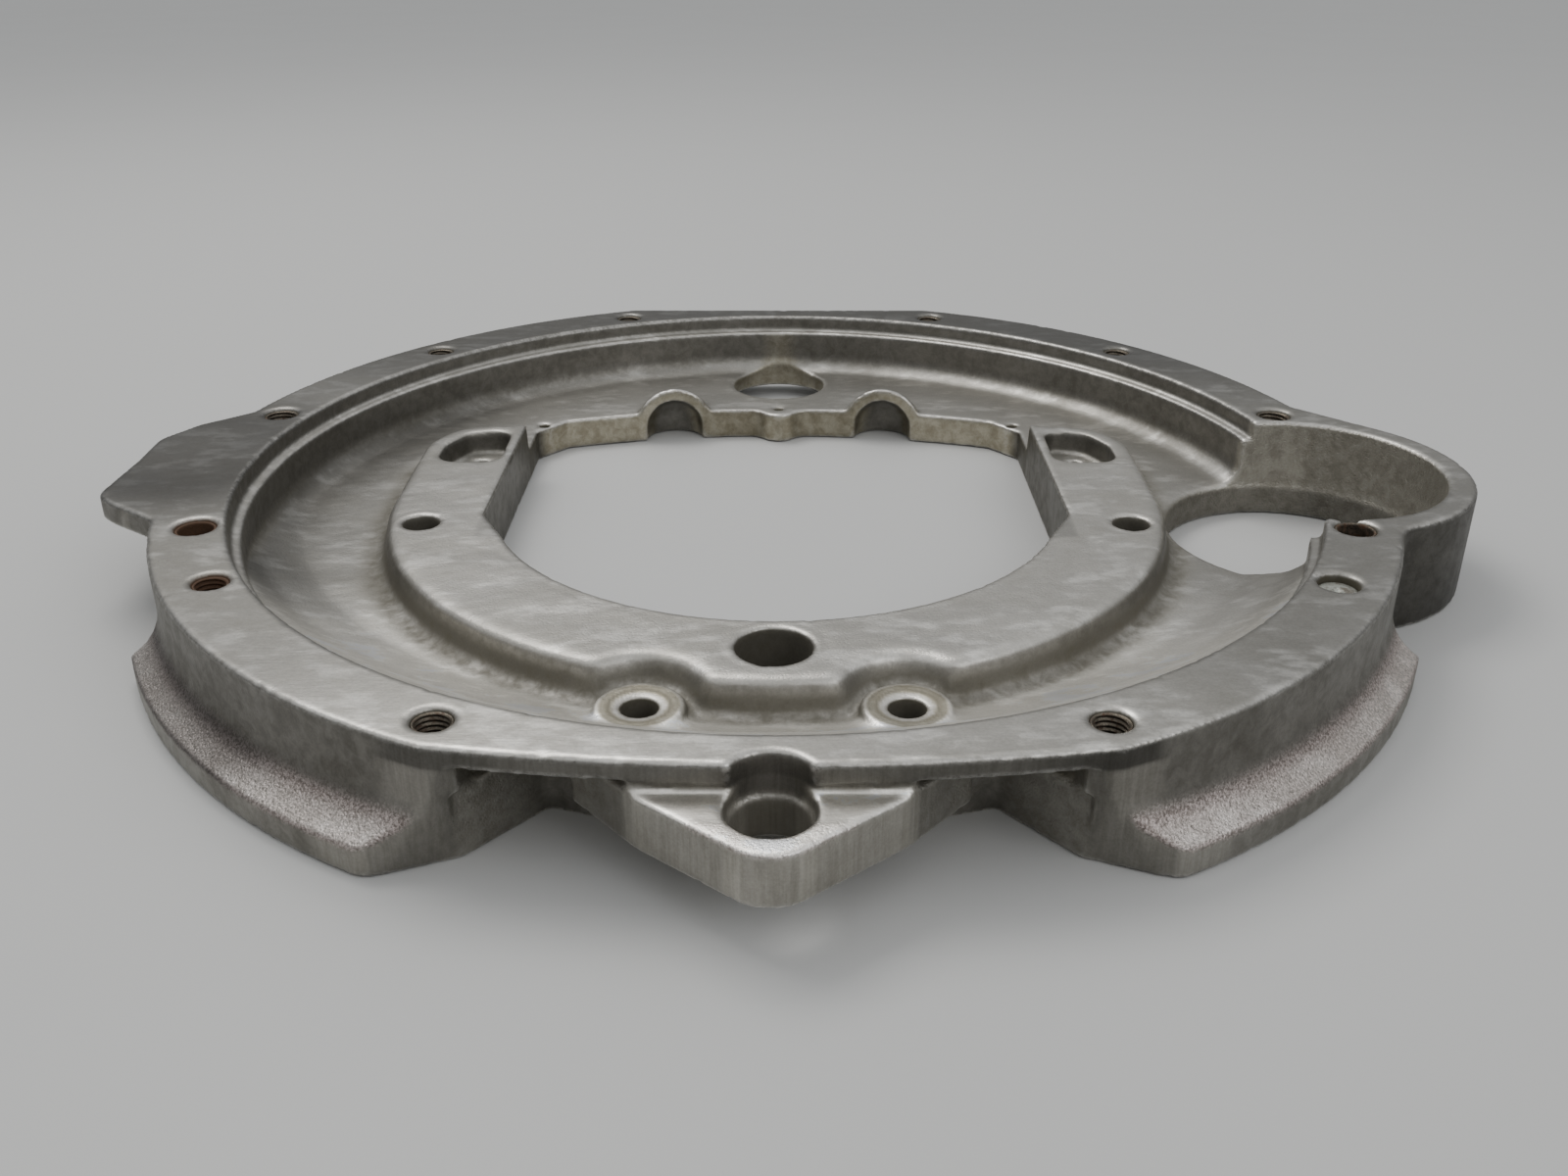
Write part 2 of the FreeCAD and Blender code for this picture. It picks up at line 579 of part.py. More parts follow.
def front_tab():
    """The bracing lug: a rounded triangle with a block behind it up to the band."""
    side_x, side_y = TAB_SIDE_POINT
    root_x, root_y = TAB_ROOT_POINT
    corners = [
        (0.0, TAB_APEX_Y),
        (side_x, side_y),
        (root_x, root_y),
        (root_x, TAB_ROOT_Y),
        (0.0, TAB_ROOT_MIDDLE_Y),
        (-root_x, TAB_ROOT_Y),
        (-root_x, root_y),
        (-side_x, side_y),
    ]
    tab = polygon_prism(corners, TAB_BOTTOM, TAB_TOP)
    tab = filleted(tab, TAB_APEX_FILLET, lambda edge: is_upright_at(edge, 0.0, TAB_APEX_Y, 1.0))
    block = Part.makeBox(
        2 * TAB_BLOCK_X,
        TAB_BLOCK_BACK_Y - TAB_BLOCK_FRONT_Y,
        TAB_BLOCK_TOP - TAB_BOTTOM,
        point(-TAB_BLOCK_X, TAB_BLOCK_FRONT_Y, TAB_BOTTOM),
    )
    radius = TAB_FILLET
    corner = point(0, TAB_BLOCK_FRONT_Y, TAB_TOP)
    fillet = Part.Face(
        Part.Wire(
            [
                line(corner, corner + point(0, -radius, 0)),
                arc(
                    corner + point(0, -radius, 0),
                    corner + point(0, -radius * (1 - math.sqrt(0.5)), radius * (1 - math.sqrt(0.5))),
                    corner + point(0, 0, radius),
                ),
                line(corner + point(0, 0, radius), corner),
            ]
        )
    )
    fillet.translate(point(-TAB_BLOCK_X + 1.0, 0, 0))
    cove = fillet.extrude(point(2 * TAB_BLOCK_X - 2.0, 0, 0))
    return joined(tab, [block, cove])


def tab_holes():
    through = cylinder(TAB_HOLE_R, 0, TAB_HOLE_Y, 0, PLATE_HEIGHT + OVERLAP)
    wide = cylinder(TAB_COUNTERBORE_R, 0, TAB_HOLE_Y, TAB_COUNTERBORE_Z, PLATE_HEIGHT + OVERLAP)
    return [through, wide]


def left_ear():
    """The thin lug on the left, with its three proudest corners rounded."""
    ear = polygon_prism(EAR_OUTLINE, EAR_BOTTOM, PLATE_HEIGHT)
    return filleted(ear, EAR_FILLET, lambda edge: any(is_upright_at(edge, x, y, 1.0) for x, y in EAR_ROUNDED))


def scoop():
    """The hollow at the rear end of the right arm of the plateau."""
    body = polygon_prism(SCOOP_OUTLINE, SCOOP_DEPTH_Z, PLATEAU_TOP + OVERLAP)
    body = filleted(body, SCOOP_FILLET, lambda edge: edge.BoundBox.ZLength > OVERLAP)
    hole = cylinder(SCOOP_HOLE_R, *SCOOP_HOLE, -OVERLAP, PLATEAU_TOP)
    return body.fuse(hole)


def web_holes():
    """Every plain hole in the web, the plateau and the rim."""
    holes = [
        cylinder(EYE_R, 0, EYE_Y, -OVERLAP, PLATE_HEIGHT - 8.0),
        cylinder(FRONT_HOLE_R, 0, FRONT_HOLE_Y, -OVERLAP, PLATE_HEIGHT),
    ]
    for x in (-SIDE_HOLE_X, SIDE_HOLE_X):
        holes.append(cylinder(SIDE_HOLE_R, x, SIDE_HOLE_Y, -OVERLAP, PLATE_HEIGHT))
        holes.append(mouth(SIDE_HOLE_R, x, SIDE_HOLE_Y, PLATEAU_TOP))
    for x in (-BOSS_X, BOSS_X):
        holes.append(cylinder(BOSS_HOLE_R, x, BOSS_Y, -OVERLAP, PLATE_HEIGHT))
        holes.append(cylinder(BOSS_FACE_R, x, BOSS_Y, BOSS_FACE_Z, PLATE_HEIGHT))
    for x, y in RIM_HOLES:
        holes.append(cylinder(RIM_HOLE_R, x, y, WEB_TOP - RIM_HOLE_DEPTH, PLATEAU_TOP))
    return holes


def boss_pads():
    return [cylinder(BOSS_PAD_R, x, BOSS_Y, BOSS_PAD_ROOT_Z, BOSS_PAD_TOP) for x in (-BOSS_X, BOSS_X)]


def mouth(radius, x, y, top):
    """The chamfer at the mouth of a hole."""
    height = CHAMFER + OVERLAP
    return Part.makeCone(radius, radius + height, height, point(x, y, top - CHAMFER), Z_AXIS)


def ring_holes():
    """Stepped seats for the inserts and dowels, and the blind hole of the plug."""
    holes = []
    for _, degrees, distance, radius in TAPPED_HOLES:
        place = polar(distance, degrees)
        seat = radius + INSERT_WALL
        bottom = PLATE_HEIGHT - INSERT_SET_BACK - INSERT_LENGTH
        holes.append(cylinder(seat, place.x, place.y, bottom, PLATE_HEIGHT + OVERLAP))
        holes.append(cylinder(radius, place.x, place.y, -OVERLAP, bottom + OVERLAP))
        holes.append(mouth(seat, place.x, place.y, PLATE_HEIGHT))
    for _, degrees, distance in DOWELS:
        place = polar(distance, degrees)
        seat = DOWEL_R + DOWEL_WALL
        bottom = PLATE_HEIGHT - DOWEL_SET_BACK - DOWEL_LENGTH
        holes.append(cylinder(seat, place.x, place.y, bottom, PLATE_HEIGHT + OVERLAP))
        holes.append(cylinder(DOWEL_R, place.x, place.y, -OVERLAP, bottom + OVERLAP))
        holes.append(mouth(seat, place.x, place.y, PLATE_HEIGHT))
    place = polar(PLUG_CENTRE_R, PLUG_ANGLE)
    holes.append(cylinder(PLUG_R, place.x, place.y, PLUG_TOP - PLUG_LENGTH, PLATE_HEIGHT + OVERLAP))
    holes.append(mouth(PLUG_R, place.x, place.y, PLATE_HEIGHT))
    return holes


def flange_casting():
    body = ring_and_web()
    body = body.cut(band_outline_cut())
    body = joined(body, [front_ramp(), plateau()] + notch_humps() + boss_pads())
    body = body.cut(band_outline_cut() + front_recess())
    body = joined(body, both_sides(left_lobe()) + [front_tab(), left_ear()] + starter_housing())
    body = body.cut([crankshaft_opening(), rear_relief()] + starter_pocket())
    body = joined(body, [rim_bump()])
    body = body.cut(notches() + both_sides(scoop()) + web_holes() + ring_holes() + tab_holes())
    return body.removeSplitter()


# --- The pieces that the casting carries ------------------------------------------------------------------

def sleeve(inner, outer, x, y, low, high):
    return cylinder(outer, x, y, low, high).cut(cylinder(inner, x, y, low - OVERLAP, high + OVERLAP))


def thread_insert(degrees, distance, radius):
    place = polar(distance, degrees)
    top = PLATE_HEIGHT - INSERT_SET_BACK
    return sleeve(radius, radius + INSERT_WALL, place.x, place.y, top - INSERT_LENGTH, top)


def hollow_dowel(degrees, distance):
    place = polar(distance, degrees)
    top = PLATE_HEIGHT - DOWEL_SET_BACK
    return sleeve(DOWEL_R, DOWEL_R + DOWEL_WALL, place.x, place.y, top - DOWEL_LENGTH, top)


def blind_plug():
    place = polar(PLUG_CENTRE_R, PLUG_ANGLE)
    body = cylinder(PLUG_R, place.x, place.y, PLUG_TOP - PLUG_LENGTH, PLUG_TOP)
    dimple = Part.makeCone(
        0, PLUG_DIMPLE_R, PLUG_DIMPLE_DEPTH, point(place.x, place.y, PLUG_TOP - PLUG_DIMPLE_DEPTH), Z_AXIS
    )
    return body.cut(dimple)


def build():
    nodes = {"flange_casting": flange_casting(), "blind_hole_plug": blind_plug()}
    for name, degrees, distance, radius in TAPPED_HOLES:
        nodes[name] = thread_insert(degrees, distance, radius)
    for name, degrees, distance in DOWELS:
        nodes[name] = hollow_dowel(degrees, distance)
    return nodes


os.makedirs("parts", exist_ok=True)
for node, shape in build().items():
    box = shape.BoundBox
    print(node, "solids", len(shape.Solids), "valid", shape.isValid(), "volume", round(shape.Volume))
    print("   from", box.XMin, box.YMin, box.ZMin, "to", box.XMax, box.YMax, box.ZMax)
    shape.exportStep("parts/" + node + ".step")
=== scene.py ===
import json
import math

import bpy
import numpy as np
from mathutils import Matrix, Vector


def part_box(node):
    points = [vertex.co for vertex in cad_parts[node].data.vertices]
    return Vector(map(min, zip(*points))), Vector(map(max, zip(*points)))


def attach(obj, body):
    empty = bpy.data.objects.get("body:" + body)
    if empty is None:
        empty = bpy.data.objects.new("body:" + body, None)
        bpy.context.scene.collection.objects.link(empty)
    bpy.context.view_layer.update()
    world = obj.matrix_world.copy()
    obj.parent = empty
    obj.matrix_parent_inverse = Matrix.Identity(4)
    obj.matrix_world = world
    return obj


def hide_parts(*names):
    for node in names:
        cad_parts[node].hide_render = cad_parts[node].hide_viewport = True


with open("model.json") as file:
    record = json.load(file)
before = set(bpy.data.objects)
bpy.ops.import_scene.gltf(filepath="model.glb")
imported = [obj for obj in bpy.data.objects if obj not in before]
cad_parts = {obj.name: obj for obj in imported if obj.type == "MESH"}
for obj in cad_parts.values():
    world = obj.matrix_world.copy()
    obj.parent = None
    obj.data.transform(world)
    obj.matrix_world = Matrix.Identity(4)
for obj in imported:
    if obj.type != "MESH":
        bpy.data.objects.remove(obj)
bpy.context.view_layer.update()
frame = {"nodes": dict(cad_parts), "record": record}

import openvdb
from mathutils import Vector

bl_info = {
    "name": "Gearbox Adapter Plate",
    "version": (1, 0, 0),
    "blender": (4, 5, 0),
    "location": "View3D > Sidebar > Adapter Plate",
    "description": "Builds a cast and machined adapter plate with its inserts, dowels and plug",
    "category": "Object",
}

MM = 0.001
CASTING = "flange_casting"
PLUG = "blind_hole_plug"
INSERTS = sorted(name for name in frame["nodes"] if name.startswith("insert_"))
DOWELS = sorted(name for name in frame["nodes"] if name.startswith("hollow_dowel_"))
FACE_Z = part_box(CASTING)[1].z          # gearbox face
MOUNTS = {mount["name"]: mount for mount in frame["record"]["mounts"]}
OPENINGS = {opening["name"]: opening for opening in frame["record"]["physics"]["openings"]}


# --- Settings ---------------------------------------------------------------------------------------------

class CastingSettings(bpy.types.PropertyGroup):
    """Shape and finish of the casting."""

    voxel: bpy.props.FloatProperty(
        name="Surface step", description="Spacing of the casting's surface points",
        default=0.95 * MM, unit="LENGTH", precision=5,
    )
    machined_softness: bpy.props.FloatProperty(
        name="Machined edge softness", description="How far machined edges are broken",
        default=0.55 * MM, unit="LENGTH", precision=5,
    )
    cast_softness: bpy.props.FloatProperty(
        name="Cast edge softness", description="How far as-cast edges are rounded",
        default=2.1 * MM, unit="LENGTH", precision=5,
    )
    waviness: bpy.props.FloatProperty(
        name="Waviness", description="Height of the slow waves in the as-cast skin",
        default=0.10 * MM, unit="LENGTH", precision=5,
    )
    nicks: bpy.props.FloatProperty(
        name="Nicks", description="Depth of the nicks along machined edges",
        default=0.35 * MM, unit="LENGTH", precision=5,
    )
    metal: bpy.props.FloatVectorProperty(
        name="Metal", description="Colour of clean, dull alloy",
        default=(0.50, 0.487, 0.462), subtype="COLOR", min=0.0, max=1.0,
    )
    # Also the colour of the painted glints on level faces.
    bright: bpy.props.FloatVectorProperty(
        name="Bright metal", description="Colour of worn and freshly cut alloy",
        default=(0.78, 0.765, 0.73), subtype="COLOR", min=0.0, max=1.0,
    )
    dark: bpy.props.FloatVectorProperty(
        name="Stained metal", description="Colour of the dark stains on the alloy",
        default=(0.29, 0.282, 0.262), subtype="COLOR", min=0.0, max=1.0,
    )
    # Also the colour of the painted shade in corners and bores.
    grime_and_shade: bpy.props.FloatVectorProperty(
        name="Grime", description="Colour of the oily dirt in corners and bores",
        default=(0.075, 0.066, 0.042), subtype="COLOR", min=0.0, max=1.0,
    )


class HardwareSettings(bpy.types.PropertyGroup):
    """The steel pieces and the plug."""

    thread_pitch: bpy.props.FloatProperty(
        name="Thread pitch", description="Distance between the turns of the threads",
        default=1.5 * MM, unit="LENGTH", precision=5,
    )
    thread_depth: bpy.props.FloatProperty(
        name="Thread depth", description="Height of a thread's ridge",
        default=0.72 * MM, unit="LENGTH", precision=5,
    )
    steel: bpy.props.FloatVectorProperty(
        name="Stained steel", description="Colour of the oily steel of the thread inserts",
        default=(0.17, 0.15, 0.12), subtype="COLOR", min=0.0, max=1.0,
    )
    rust: bpy.props.FloatVectorProperty(
        name="Rust", description="Colour of the rust in the dowels and beside them",
        default=(0.105, 0.052, 0.026), subtype="COLOR", min=0.0, max=1.0,
    )


class StageSettings(bpy.types.PropertyGroup):
    """Floor, lights and camera."""

    floor: bpy.props.FloatVectorProperty(
        name="Floor", description="Colour of the plain floor",
        default=(0.56, 0.56, 0.55), subtype="COLOR", min=0.0, max=1.0,
    )
    key_power: bpy.props.FloatProperty(
        name="Key light", description="Power of the soft light overhead", default=9.0, unit="POWER",
    )
    fill_power: bpy.props.FloatProperty(
        name="Fill light", description="Power of the soft light beside the camera", default=3.0, unit="POWER",
    )
    sky_dim: bpy.props.FloatProperty(
        name="Dim sky", description="Brightness of the studio near the horizon", default=0.16, min=0.0,
    )
    sky_bright: bpy.props.FloatProperty(
        name="Bright sky", description="Brightness of the studio overhead", default=0.85, min=0.0,
    )
    sky_low: bpy.props.FloatProperty(
        name="Sky low", description="Height on a unit dome where the studio starts to brighten", default=0.18,
    )
    sky_high: bpy.props.FloatProperty(
        name="Sky high", description="Height on a unit dome where the studio is fully bright", default=0.75,
    )
    camera_place: bpy.props.FloatVectorProperty(
        name="Camera place", description="Where the camera stands",
        default=(0.0037, -0.4879, 0.2244), subtype="TRANSLATION", unit="LENGTH",
    )
    camera_pitch: bpy.props.FloatProperty(
        name="Camera pitch", description="How far the camera looks down",
        default=math.radians(26.108), subtype="ANGLE",
    )
    camera_turn: bpy.props.FloatProperty(
        name="Camera turn", description="How far the camera is turned about the vertical",
        default=0.002, subtype="ANGLE",
    )
    camera_lens: bpy.props.FloatProperty(
        name="Focal length", description="Focal length on a 36 mm wide sensor", default=33.03, unit="CAMERA",
    )


# --- Meshes -----------------------------------------------------------------------------------------------

def new_object(name, mesh):
    piece = bpy.data.objects.new(name, mesh)
    bpy.context.scene.collection.objects.link(piece)
    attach(piece, "root")
    return piece


def shade_smooth(mesh):
    mesh.polygons.foreach_set("use_smooth", np.ones(len(mesh.polygons), dtype=bool))
    mesh.update()


def set_attribute(mesh, name, values):
    layer = mesh.attributes.new(name, "FLOAT", "POINT")
    layer.data.foreach_set("value", np.ascontiguousarray(values, dtype=np.float32))


def mesh_arrays(mesh):
    """Corner points and triangles of a mesh as arrays."""
    points = np.empty(len(mesh.vertices) * 3, np.float32)
    mesh.vertices.foreach_get("co", points)
    mesh.calc_loop_triangles()
    triangles = np.empty(len(mesh.loop_triangles) * 3, np.int32)
    mesh.loop_triangles.foreach_get("vertices", triangles)
    return points.reshape(-1, 3), triangles.reshape(-1, 3).astype(np.uint32)


def gaussian(values, sigma):
    """A separable blur of a 3-D array; sigma is in steps."""
    reach = max(1, math.ceil(2.5 * sigma))
    offsets = np.arange(-reach, reach + 1)
    weights = np.exp(-0.5 * (offsets / sigma) ** 2)
    weights /= weights.sum()
    for axis in range(3):
        padded = np.pad(values, [(reach, reach) if i == axis else (0, 0) for i in range(3)], mode="edge")
        blurred = np.zeros_like(values)
        length = values.shape[axis]
        for index, weight in enumerate(weights):
            window = [slice(None)] * 3
            window[axis] = slice(index, index + length)
            blurred += np.float32(weight) * padded[tuple(window)]
        values = blurred
    return values


def sampled(values, points):
    """Trilinear samples of a 3-D array at points given in steps."""
    low = np.floor(points).astype(int)
    low = np.clip(low, 0, np.array(values.shape) - 2)
    part = (points - low).astype(np.float32)
    total = np.zeros(len(points), np.float32)
    for corner in np.ndindex(2, 2, 2):
        weight = np.ones(len(points), np.float32)
        for axis in range(3):
            weight *= part[:, axis] if corner[axis] else 1.0 - part[:, axis]
        index = low + corner
        total += weight * values[index[:, 0], index[:, 1], index[:, 2]]
    return total


def smooth_step(low, high, values):
    share = np.clip((values - low) / (high - low), 0.0, 1.0)
    return share * share * (3.0 - 2.0 * share)


class DistanceField:
    """Signed distance to a closed mesh on a regular grid, in metres."""

    REACH = 9

    def __init__(self, mesh, step):
        points, triangles = mesh_arrays(mesh)
        margin = self.REACH + 2
        low = np.floor(points.min(axis=0) / step).astype(int) - margin
        high = np.ceil(points.max(axis=0) / step).astype(int) + margin
        transform = openvdb.createLinearTransform(voxelSize=step)
        grid = openvdb.FloatGrid.createLevelSetFromPolygons(
            points, triangles=triangles, transform=transform, halfWidth=float(self.REACH)
        )
        self.step = step
        self.low = low
        self.values = np.empty(tuple(high - low + 1), np.float32)
        grid.copyToArray(self.values, ijk=tuple(int(v) for v in low))

    def place(self, axis):
        """Coordinate of each grid plane along an axis, shaped to spread over the grid."""
        shape = [1, 1, 1]
        shape[axis] = self.values.shape[axis]
        return ((self.low[axis] + np.arange(self.values.shape[axis])) * self.step).reshape(shape)

    def in_steps(self, points):
        return points / self.step - self.low

    def surface(self, values):
        """The zero surface of an array on this grid, as points and quads."""
        grid = openvdb.FloatGrid(background=float(self.step * self.REACH))
        grid.transform = openvdb.createLinearTransform(voxelSize=self.step)
        grid.copyFromArray(values, ijk=tuple(int(v) for v in self.low))
        grid.gridClass = openvdb.GridClass.LEVEL_SET
        return grid.convertToQuads(isovalue=0.0)


def mesh_from_quads(name, points, quads):
    mesh = bpy.data.meshes.new(name)
    mesh.vertices.add(len(points))
    mesh.vertices.foreach_set("co", np.ascontiguousarray(points, dtype=np.float32).ravel())
    mesh.loops.add(quads.size)
    mesh.loops.foreach_set("vertex_index", np.ascontiguousarray(quads[:, ::-1], dtype=np.int32).ravel())
    mesh.polygons.add(len(quads))
    mesh.polygons.foreach_set("loop_start", np.arange(0, quads.size, 4, dtype=np.int32))
    mesh.update(calc_edges=True)
    mesh.validate()
    shade_smooth(mesh)
    return mesh


def waves(points, length, seed):
    """Smooth random heights from -1 to 1 over points, from a few crossed sine waves."""
    random = np.random.default_rng(seed)
    total = np.zeros(len(points))
    count = 9
    for _ in range(count):
        direction = random.normal(size=3)
        direction /= np.linalg.norm(direction)
        scale = random.uniform(0.7, 1.6) * 2.0 * math.pi / length
        total += np.sin(points @ direction * scale + random.uniform(0.0, 2.0 * math.pi))
    return total / math.sqrt(count)


# --- Node helpers -----------------------------------------------------------------------------------------

class Nodes:
    """Short calls for building one material's node tree."""

    def __init__(self, name):
        self.material = bpy.data.materials.new(name)
        self.material.use_nodes = True
        self.tree = self.material.node_tree
        self.shader = self.tree.nodes["Principled BSDF"]
        self.position = self.tree.nodes.new("ShaderNodeTexCoord").outputs["Object"]

    def link(self, source, target):
        if isinstance(source, (int, float)):
            target.default_value = source
        elif isinstance(source, tuple):
            target.default_value = (*source, 1.0) if len(target.default_value) == 4 else source
        else:
            self.tree.links.new(source, target)

    def attribute(self, name):
        node = self.tree.nodes.new("ShaderNodeAttribute")
        node.attribute_name = name
        return node.outputs["Fac"]

    def math(self, operation, *values, clamp=False):
        node = self.tree.nodes.new("ShaderNodeMath")
        node.operation = operation
        node.use_clamp = clamp
        for value, socket in zip(values, node.inputs):
            self.link(value, socket)
        return node.outputs[0]

    def flip(self, value):
        return self.math("SUBTRACT", 1.0, value)

    def times(self, *values):
        product = values[0]
        for value in values[1:]:
            product = self.math("MULTIPLY", product, value)
        return product

    def plus(self, *values):
        total = values[0]
        for value in values[1:]:
            total = self.math("ADD", total, value)
        return total

    def scaled(self, stretch):
        node = self.tree.nodes.new("ShaderNodeMapping")
        self.tree.links.new(self.position, node.inputs["Vector"])
        node.inputs["Scale"].default_value = stretch
        return node.outputs[0]

    def noise(self, scale, detail=3.0, roughness=0.55, distortion=0.0, stretch=(1.0, 1.0, 1.0)):
        """Noise from 0 to 1 with about scale features per metre."""
        node = self.tree.nodes.new("ShaderNodeTexNoise")
        self.tree.links.new(self.scaled(stretch), node.inputs["Vector"])
        node.inputs["Scale"].default_value = scale
        node.inputs["Detail"].default_value = detail
        node.inputs["Roughness"].default_value = roughness
        node.inputs["Distortion"].default_value = distortion
        return node.outputs["Fac"]

    def cells(self, scale):
        node = self.tree.nodes.new("ShaderNodeTexVoronoi")
        self.tree.links.new(self.position, node.inputs["Vector"])
        node.inputs["Scale"].default_value = scale
        return node.outputs["Distance"]

    def ramp(self, value, low, high, to_low=0.0, to_high=1.0):
        node = self.tree.nodes.new("ShaderNodeMapRange")
        node.interpolation_type = "SMOOTHSTEP"
        self.link(value, node.inputs["Value"])
        node.inputs["From Min"].default_value = low
        node.inputs["From Max"].default_value = high
        node.inputs["To Min"].default_value = to_low
        node.inputs["To Max"].default_value = to_high
        return node.outputs[0]

    def mix(self, share, first, second, blend="MIX"):
        node = self.tree.nodes.new("ShaderNodeMix")
        node.data_type = "RGBA"
        node.blend_type = blend
        self.link(share, node.inputs[0])
        self.link(first, node.inputs[6])
        self.link(second, node.inputs[7])
        return node.outputs[2]

    def bump(self, height, distance):
        node = self.tree.nodes.new("ShaderNodeBump")
        node.inputs["Distance"].default_value = distance
        self.link(height, node.inputs["Height"])
        return node.outputs["Normal"]

    def finish(self, colour, metallic, roughness, normal):
        self.link(colour, self.shader.inputs["Base Color"])
        self.link(metallic, self.shader.inputs["Metallic"])
        self.link(roughness, self.shader.inputs["Roughness"])
        self.link(normal, self.shader.inputs["Normal"])
        return self.material


# Pairs of a darker and a lighter shade that a pattern mixes.
WARM_METAL = (0.31, 0.275, 0.19), (0.47, 0.435, 0.335)
PINK_METAL = (0.20, 0.155, 0.14), (0.62, 0.53, 0.51)
PLUG_METAL = (0.20, 0.18, 0.15), (0.46, 0.475, 0.43)
OIL = (0.045, 0.032, 0.02)


def casting_material(settings, rust_colour):
    """Satin alloy, brushed where milled and grainy where cast, worn at edges, with painted shade in corners and bores
    and painted light and shade in its tone.
    """
    n = Nodes("cast_alloy")
    tone, warm, pink = n.attribute("tone"), n.attribute("warm"), n.attribute("pink")
    grain_share, upright, milled = n.attribute("grain"), n.attribute("upright"), n.attribute("milled")
    edge, hollow, stain = n.attribute("edge"), n.attribute("hollow"), n.attribute("stain")
    bore, rust = n.attribute("bore"), n.attribute("rust")
    level = n.flip(upright)

    clouds = n.noise(20.0, 3.0, 0.55, 0.8)
    blotches = n.noise(60.0, 4.0, 0.55, 0.3, (0.70, 1.25, 1.25))
    wisps = n.noise(150.0, 4.0, 0.6, 0.2, (0.60, 1.25, 1.25))
    mottle = n.noise(230.0, 4.0, 0.6, 0.4)
    strokes = n.noise(760.0, 3.0, 0.6, 0.0, (1.0, 1.0, 0.06))
    brushing = n.noise(1500.0, 2.0, 0.6, 0.0, (0.08, 1.0, 1.0))
    specks = n.noise(520.0, 4.0, 0.75)
    grain = n.noise(1300.0, 3.0, 0.7)
    sparkle = n.cells(900.0)

    lie = n.plus(n.times(n.ramp(clouds, 0.32, 0.68), 0.40), n.times(n.ramp(blotches, 0.30, 0.70), 0.34),
                 n.times(n.ramp(wisps, 0.28, 0.72), 0.26))
    drawn = n.plus(n.times(n.ramp(strokes, 0.28, 0.72), milled), n.times(n.ramp(mottle, 0.30, 0.70), n.flip(milled)))
    stand = n.plus(n.times(n.ramp(clouds, 0.32, 0.68), 0.55), n.times(drawn, 0.45))
    pattern = n.plus(n.times(lie, level), n.times(stand, upright))
    colour = n.mix(pattern, tuple(settings.dark), tuple(settings.metal))
    # Painted glints: patches of level faces are lightened toward bright metal.
    glints = n.times(n.ramp(n.times(blotches, wisps), 0.24, 0.40), level)
    colour = n.mix(n.times(glints, 0.54), colour, tuple(settings.bright))
    colour = n.mix(warm, colour, n.mix(n.ramp(mottle, 0.30, 0.70), *WARM_METAL))
    colour = n.mix(pink, colour, n.mix(n.ramp(grain, 0.38, 0.62), *PINK_METAL))
    # The tone multiplies the colour: painted light and shade region by region, the spotface's and washer's own
    # colour, and a little random grain.
    shade = n.math("MULTIPLY", tone, n.ramp(grain, 0.3, 0.7, 0.93, 1.07))
    grey = n.tree.nodes.new("ShaderNodeCombineColor")
    for socket in grey.inputs[:3]:
        n.link(shade, socket)
    colour = n.mix(1.0, colour, grey.outputs[0], "MULTIPLY")

    worn = n.times(n.ramp(edge, 0.24, 0.70), n.ramp(specks, 0.36, 0.60, 0.10, 1.0))
    colour = n.mix(n.times(worn, 0.60), colour, tuple(settings.bright))
    # Painted shade: hollows and bores are darkened toward the grime colour; the stains at the plateau foot and the
    # washer ring are real.
    corner_shade = n.times(n.ramp(hollow, 0.12, 0.85), n.ramp(specks, 0.30, 0.62, 0.45, 1.0), 0.70)
    stained = n.times(stain, n.ramp(mottle, 0.30, 0.70, 0.55, 1.0))
    stain_and_shade = n.math("MAXIMUM", n.math("MAXIMUM", corner_shade, stained), n.times(bore, 0.90))
    colour = n.mix(stain_and_shade, colour, tuple(settings.grime_and_shade))
    rusted = n.times(rust, n.ramp(specks, 0.30, 0.55, 0.35, 1.0))
    colour = n.mix(rusted, colour, rust_colour)

    shaded_and_soiled = n.math("MAXIMUM", stain_and_shade, rusted)
    metallic = n.ramp(shaded_and_soiled, 0.0, 1.0, 1.0, 0.3)
    rough = n.ramp(pattern, 0.0, 1.0, 0.46, 0.34)
    rough = n.plus(rough, n.times(grain_share, 0.08), n.times(shaded_and_soiled, 0.30), n.times(upright, 0.08))
    rough = n.math("SUBTRACT", rough, n.times(worn, 0.08), clamp=True)

    coarse = n.plus(grain, n.times(n.ramp(sparkle, 0.0, 0.5), 0.5))
    turned = n.plus(n.times(brushing, level, 0.07), n.times(strokes, milled, 0.30), n.times(mottle, 0.12))
    height = n.plus(n.times(coarse, n.plus(n.times(grain_share, 0.9), 0.05)), n.times(turned, n.flip(grain_share)))
    return n.finish(colour, metallic, rough, n.bump(height, 0.42 * MM))


def steel_material(name, settings, rust_share):
    """Oily steel with patches of rust."""
    n = Nodes(name)
    patches = n.noise(380.0, 5.0, 0.7, 0.5)
    grain = n.noise(2600.0, 3.0, 0.6)
    share = n.ramp(patches, 0.55 - 0.35 * rust_share, 0.75 - 0.35 * rust_share)
    colour = n.mix(share, tuple(settings.steel), tuple(settings.rust))
    colour = n.mix(n.ramp(grain, 0.35, 0.65, 0.0, 0.5), colour, OIL)
    metallic = n.ramp(share, 0.0, 1.0, 0.85, 0.15)
    rough = n.ramp(share, 0.0, 1.0, 0.38, 0.78)
    return n.finish(colour, metallic, rough, n.bump(grain, 0.15 * MM))


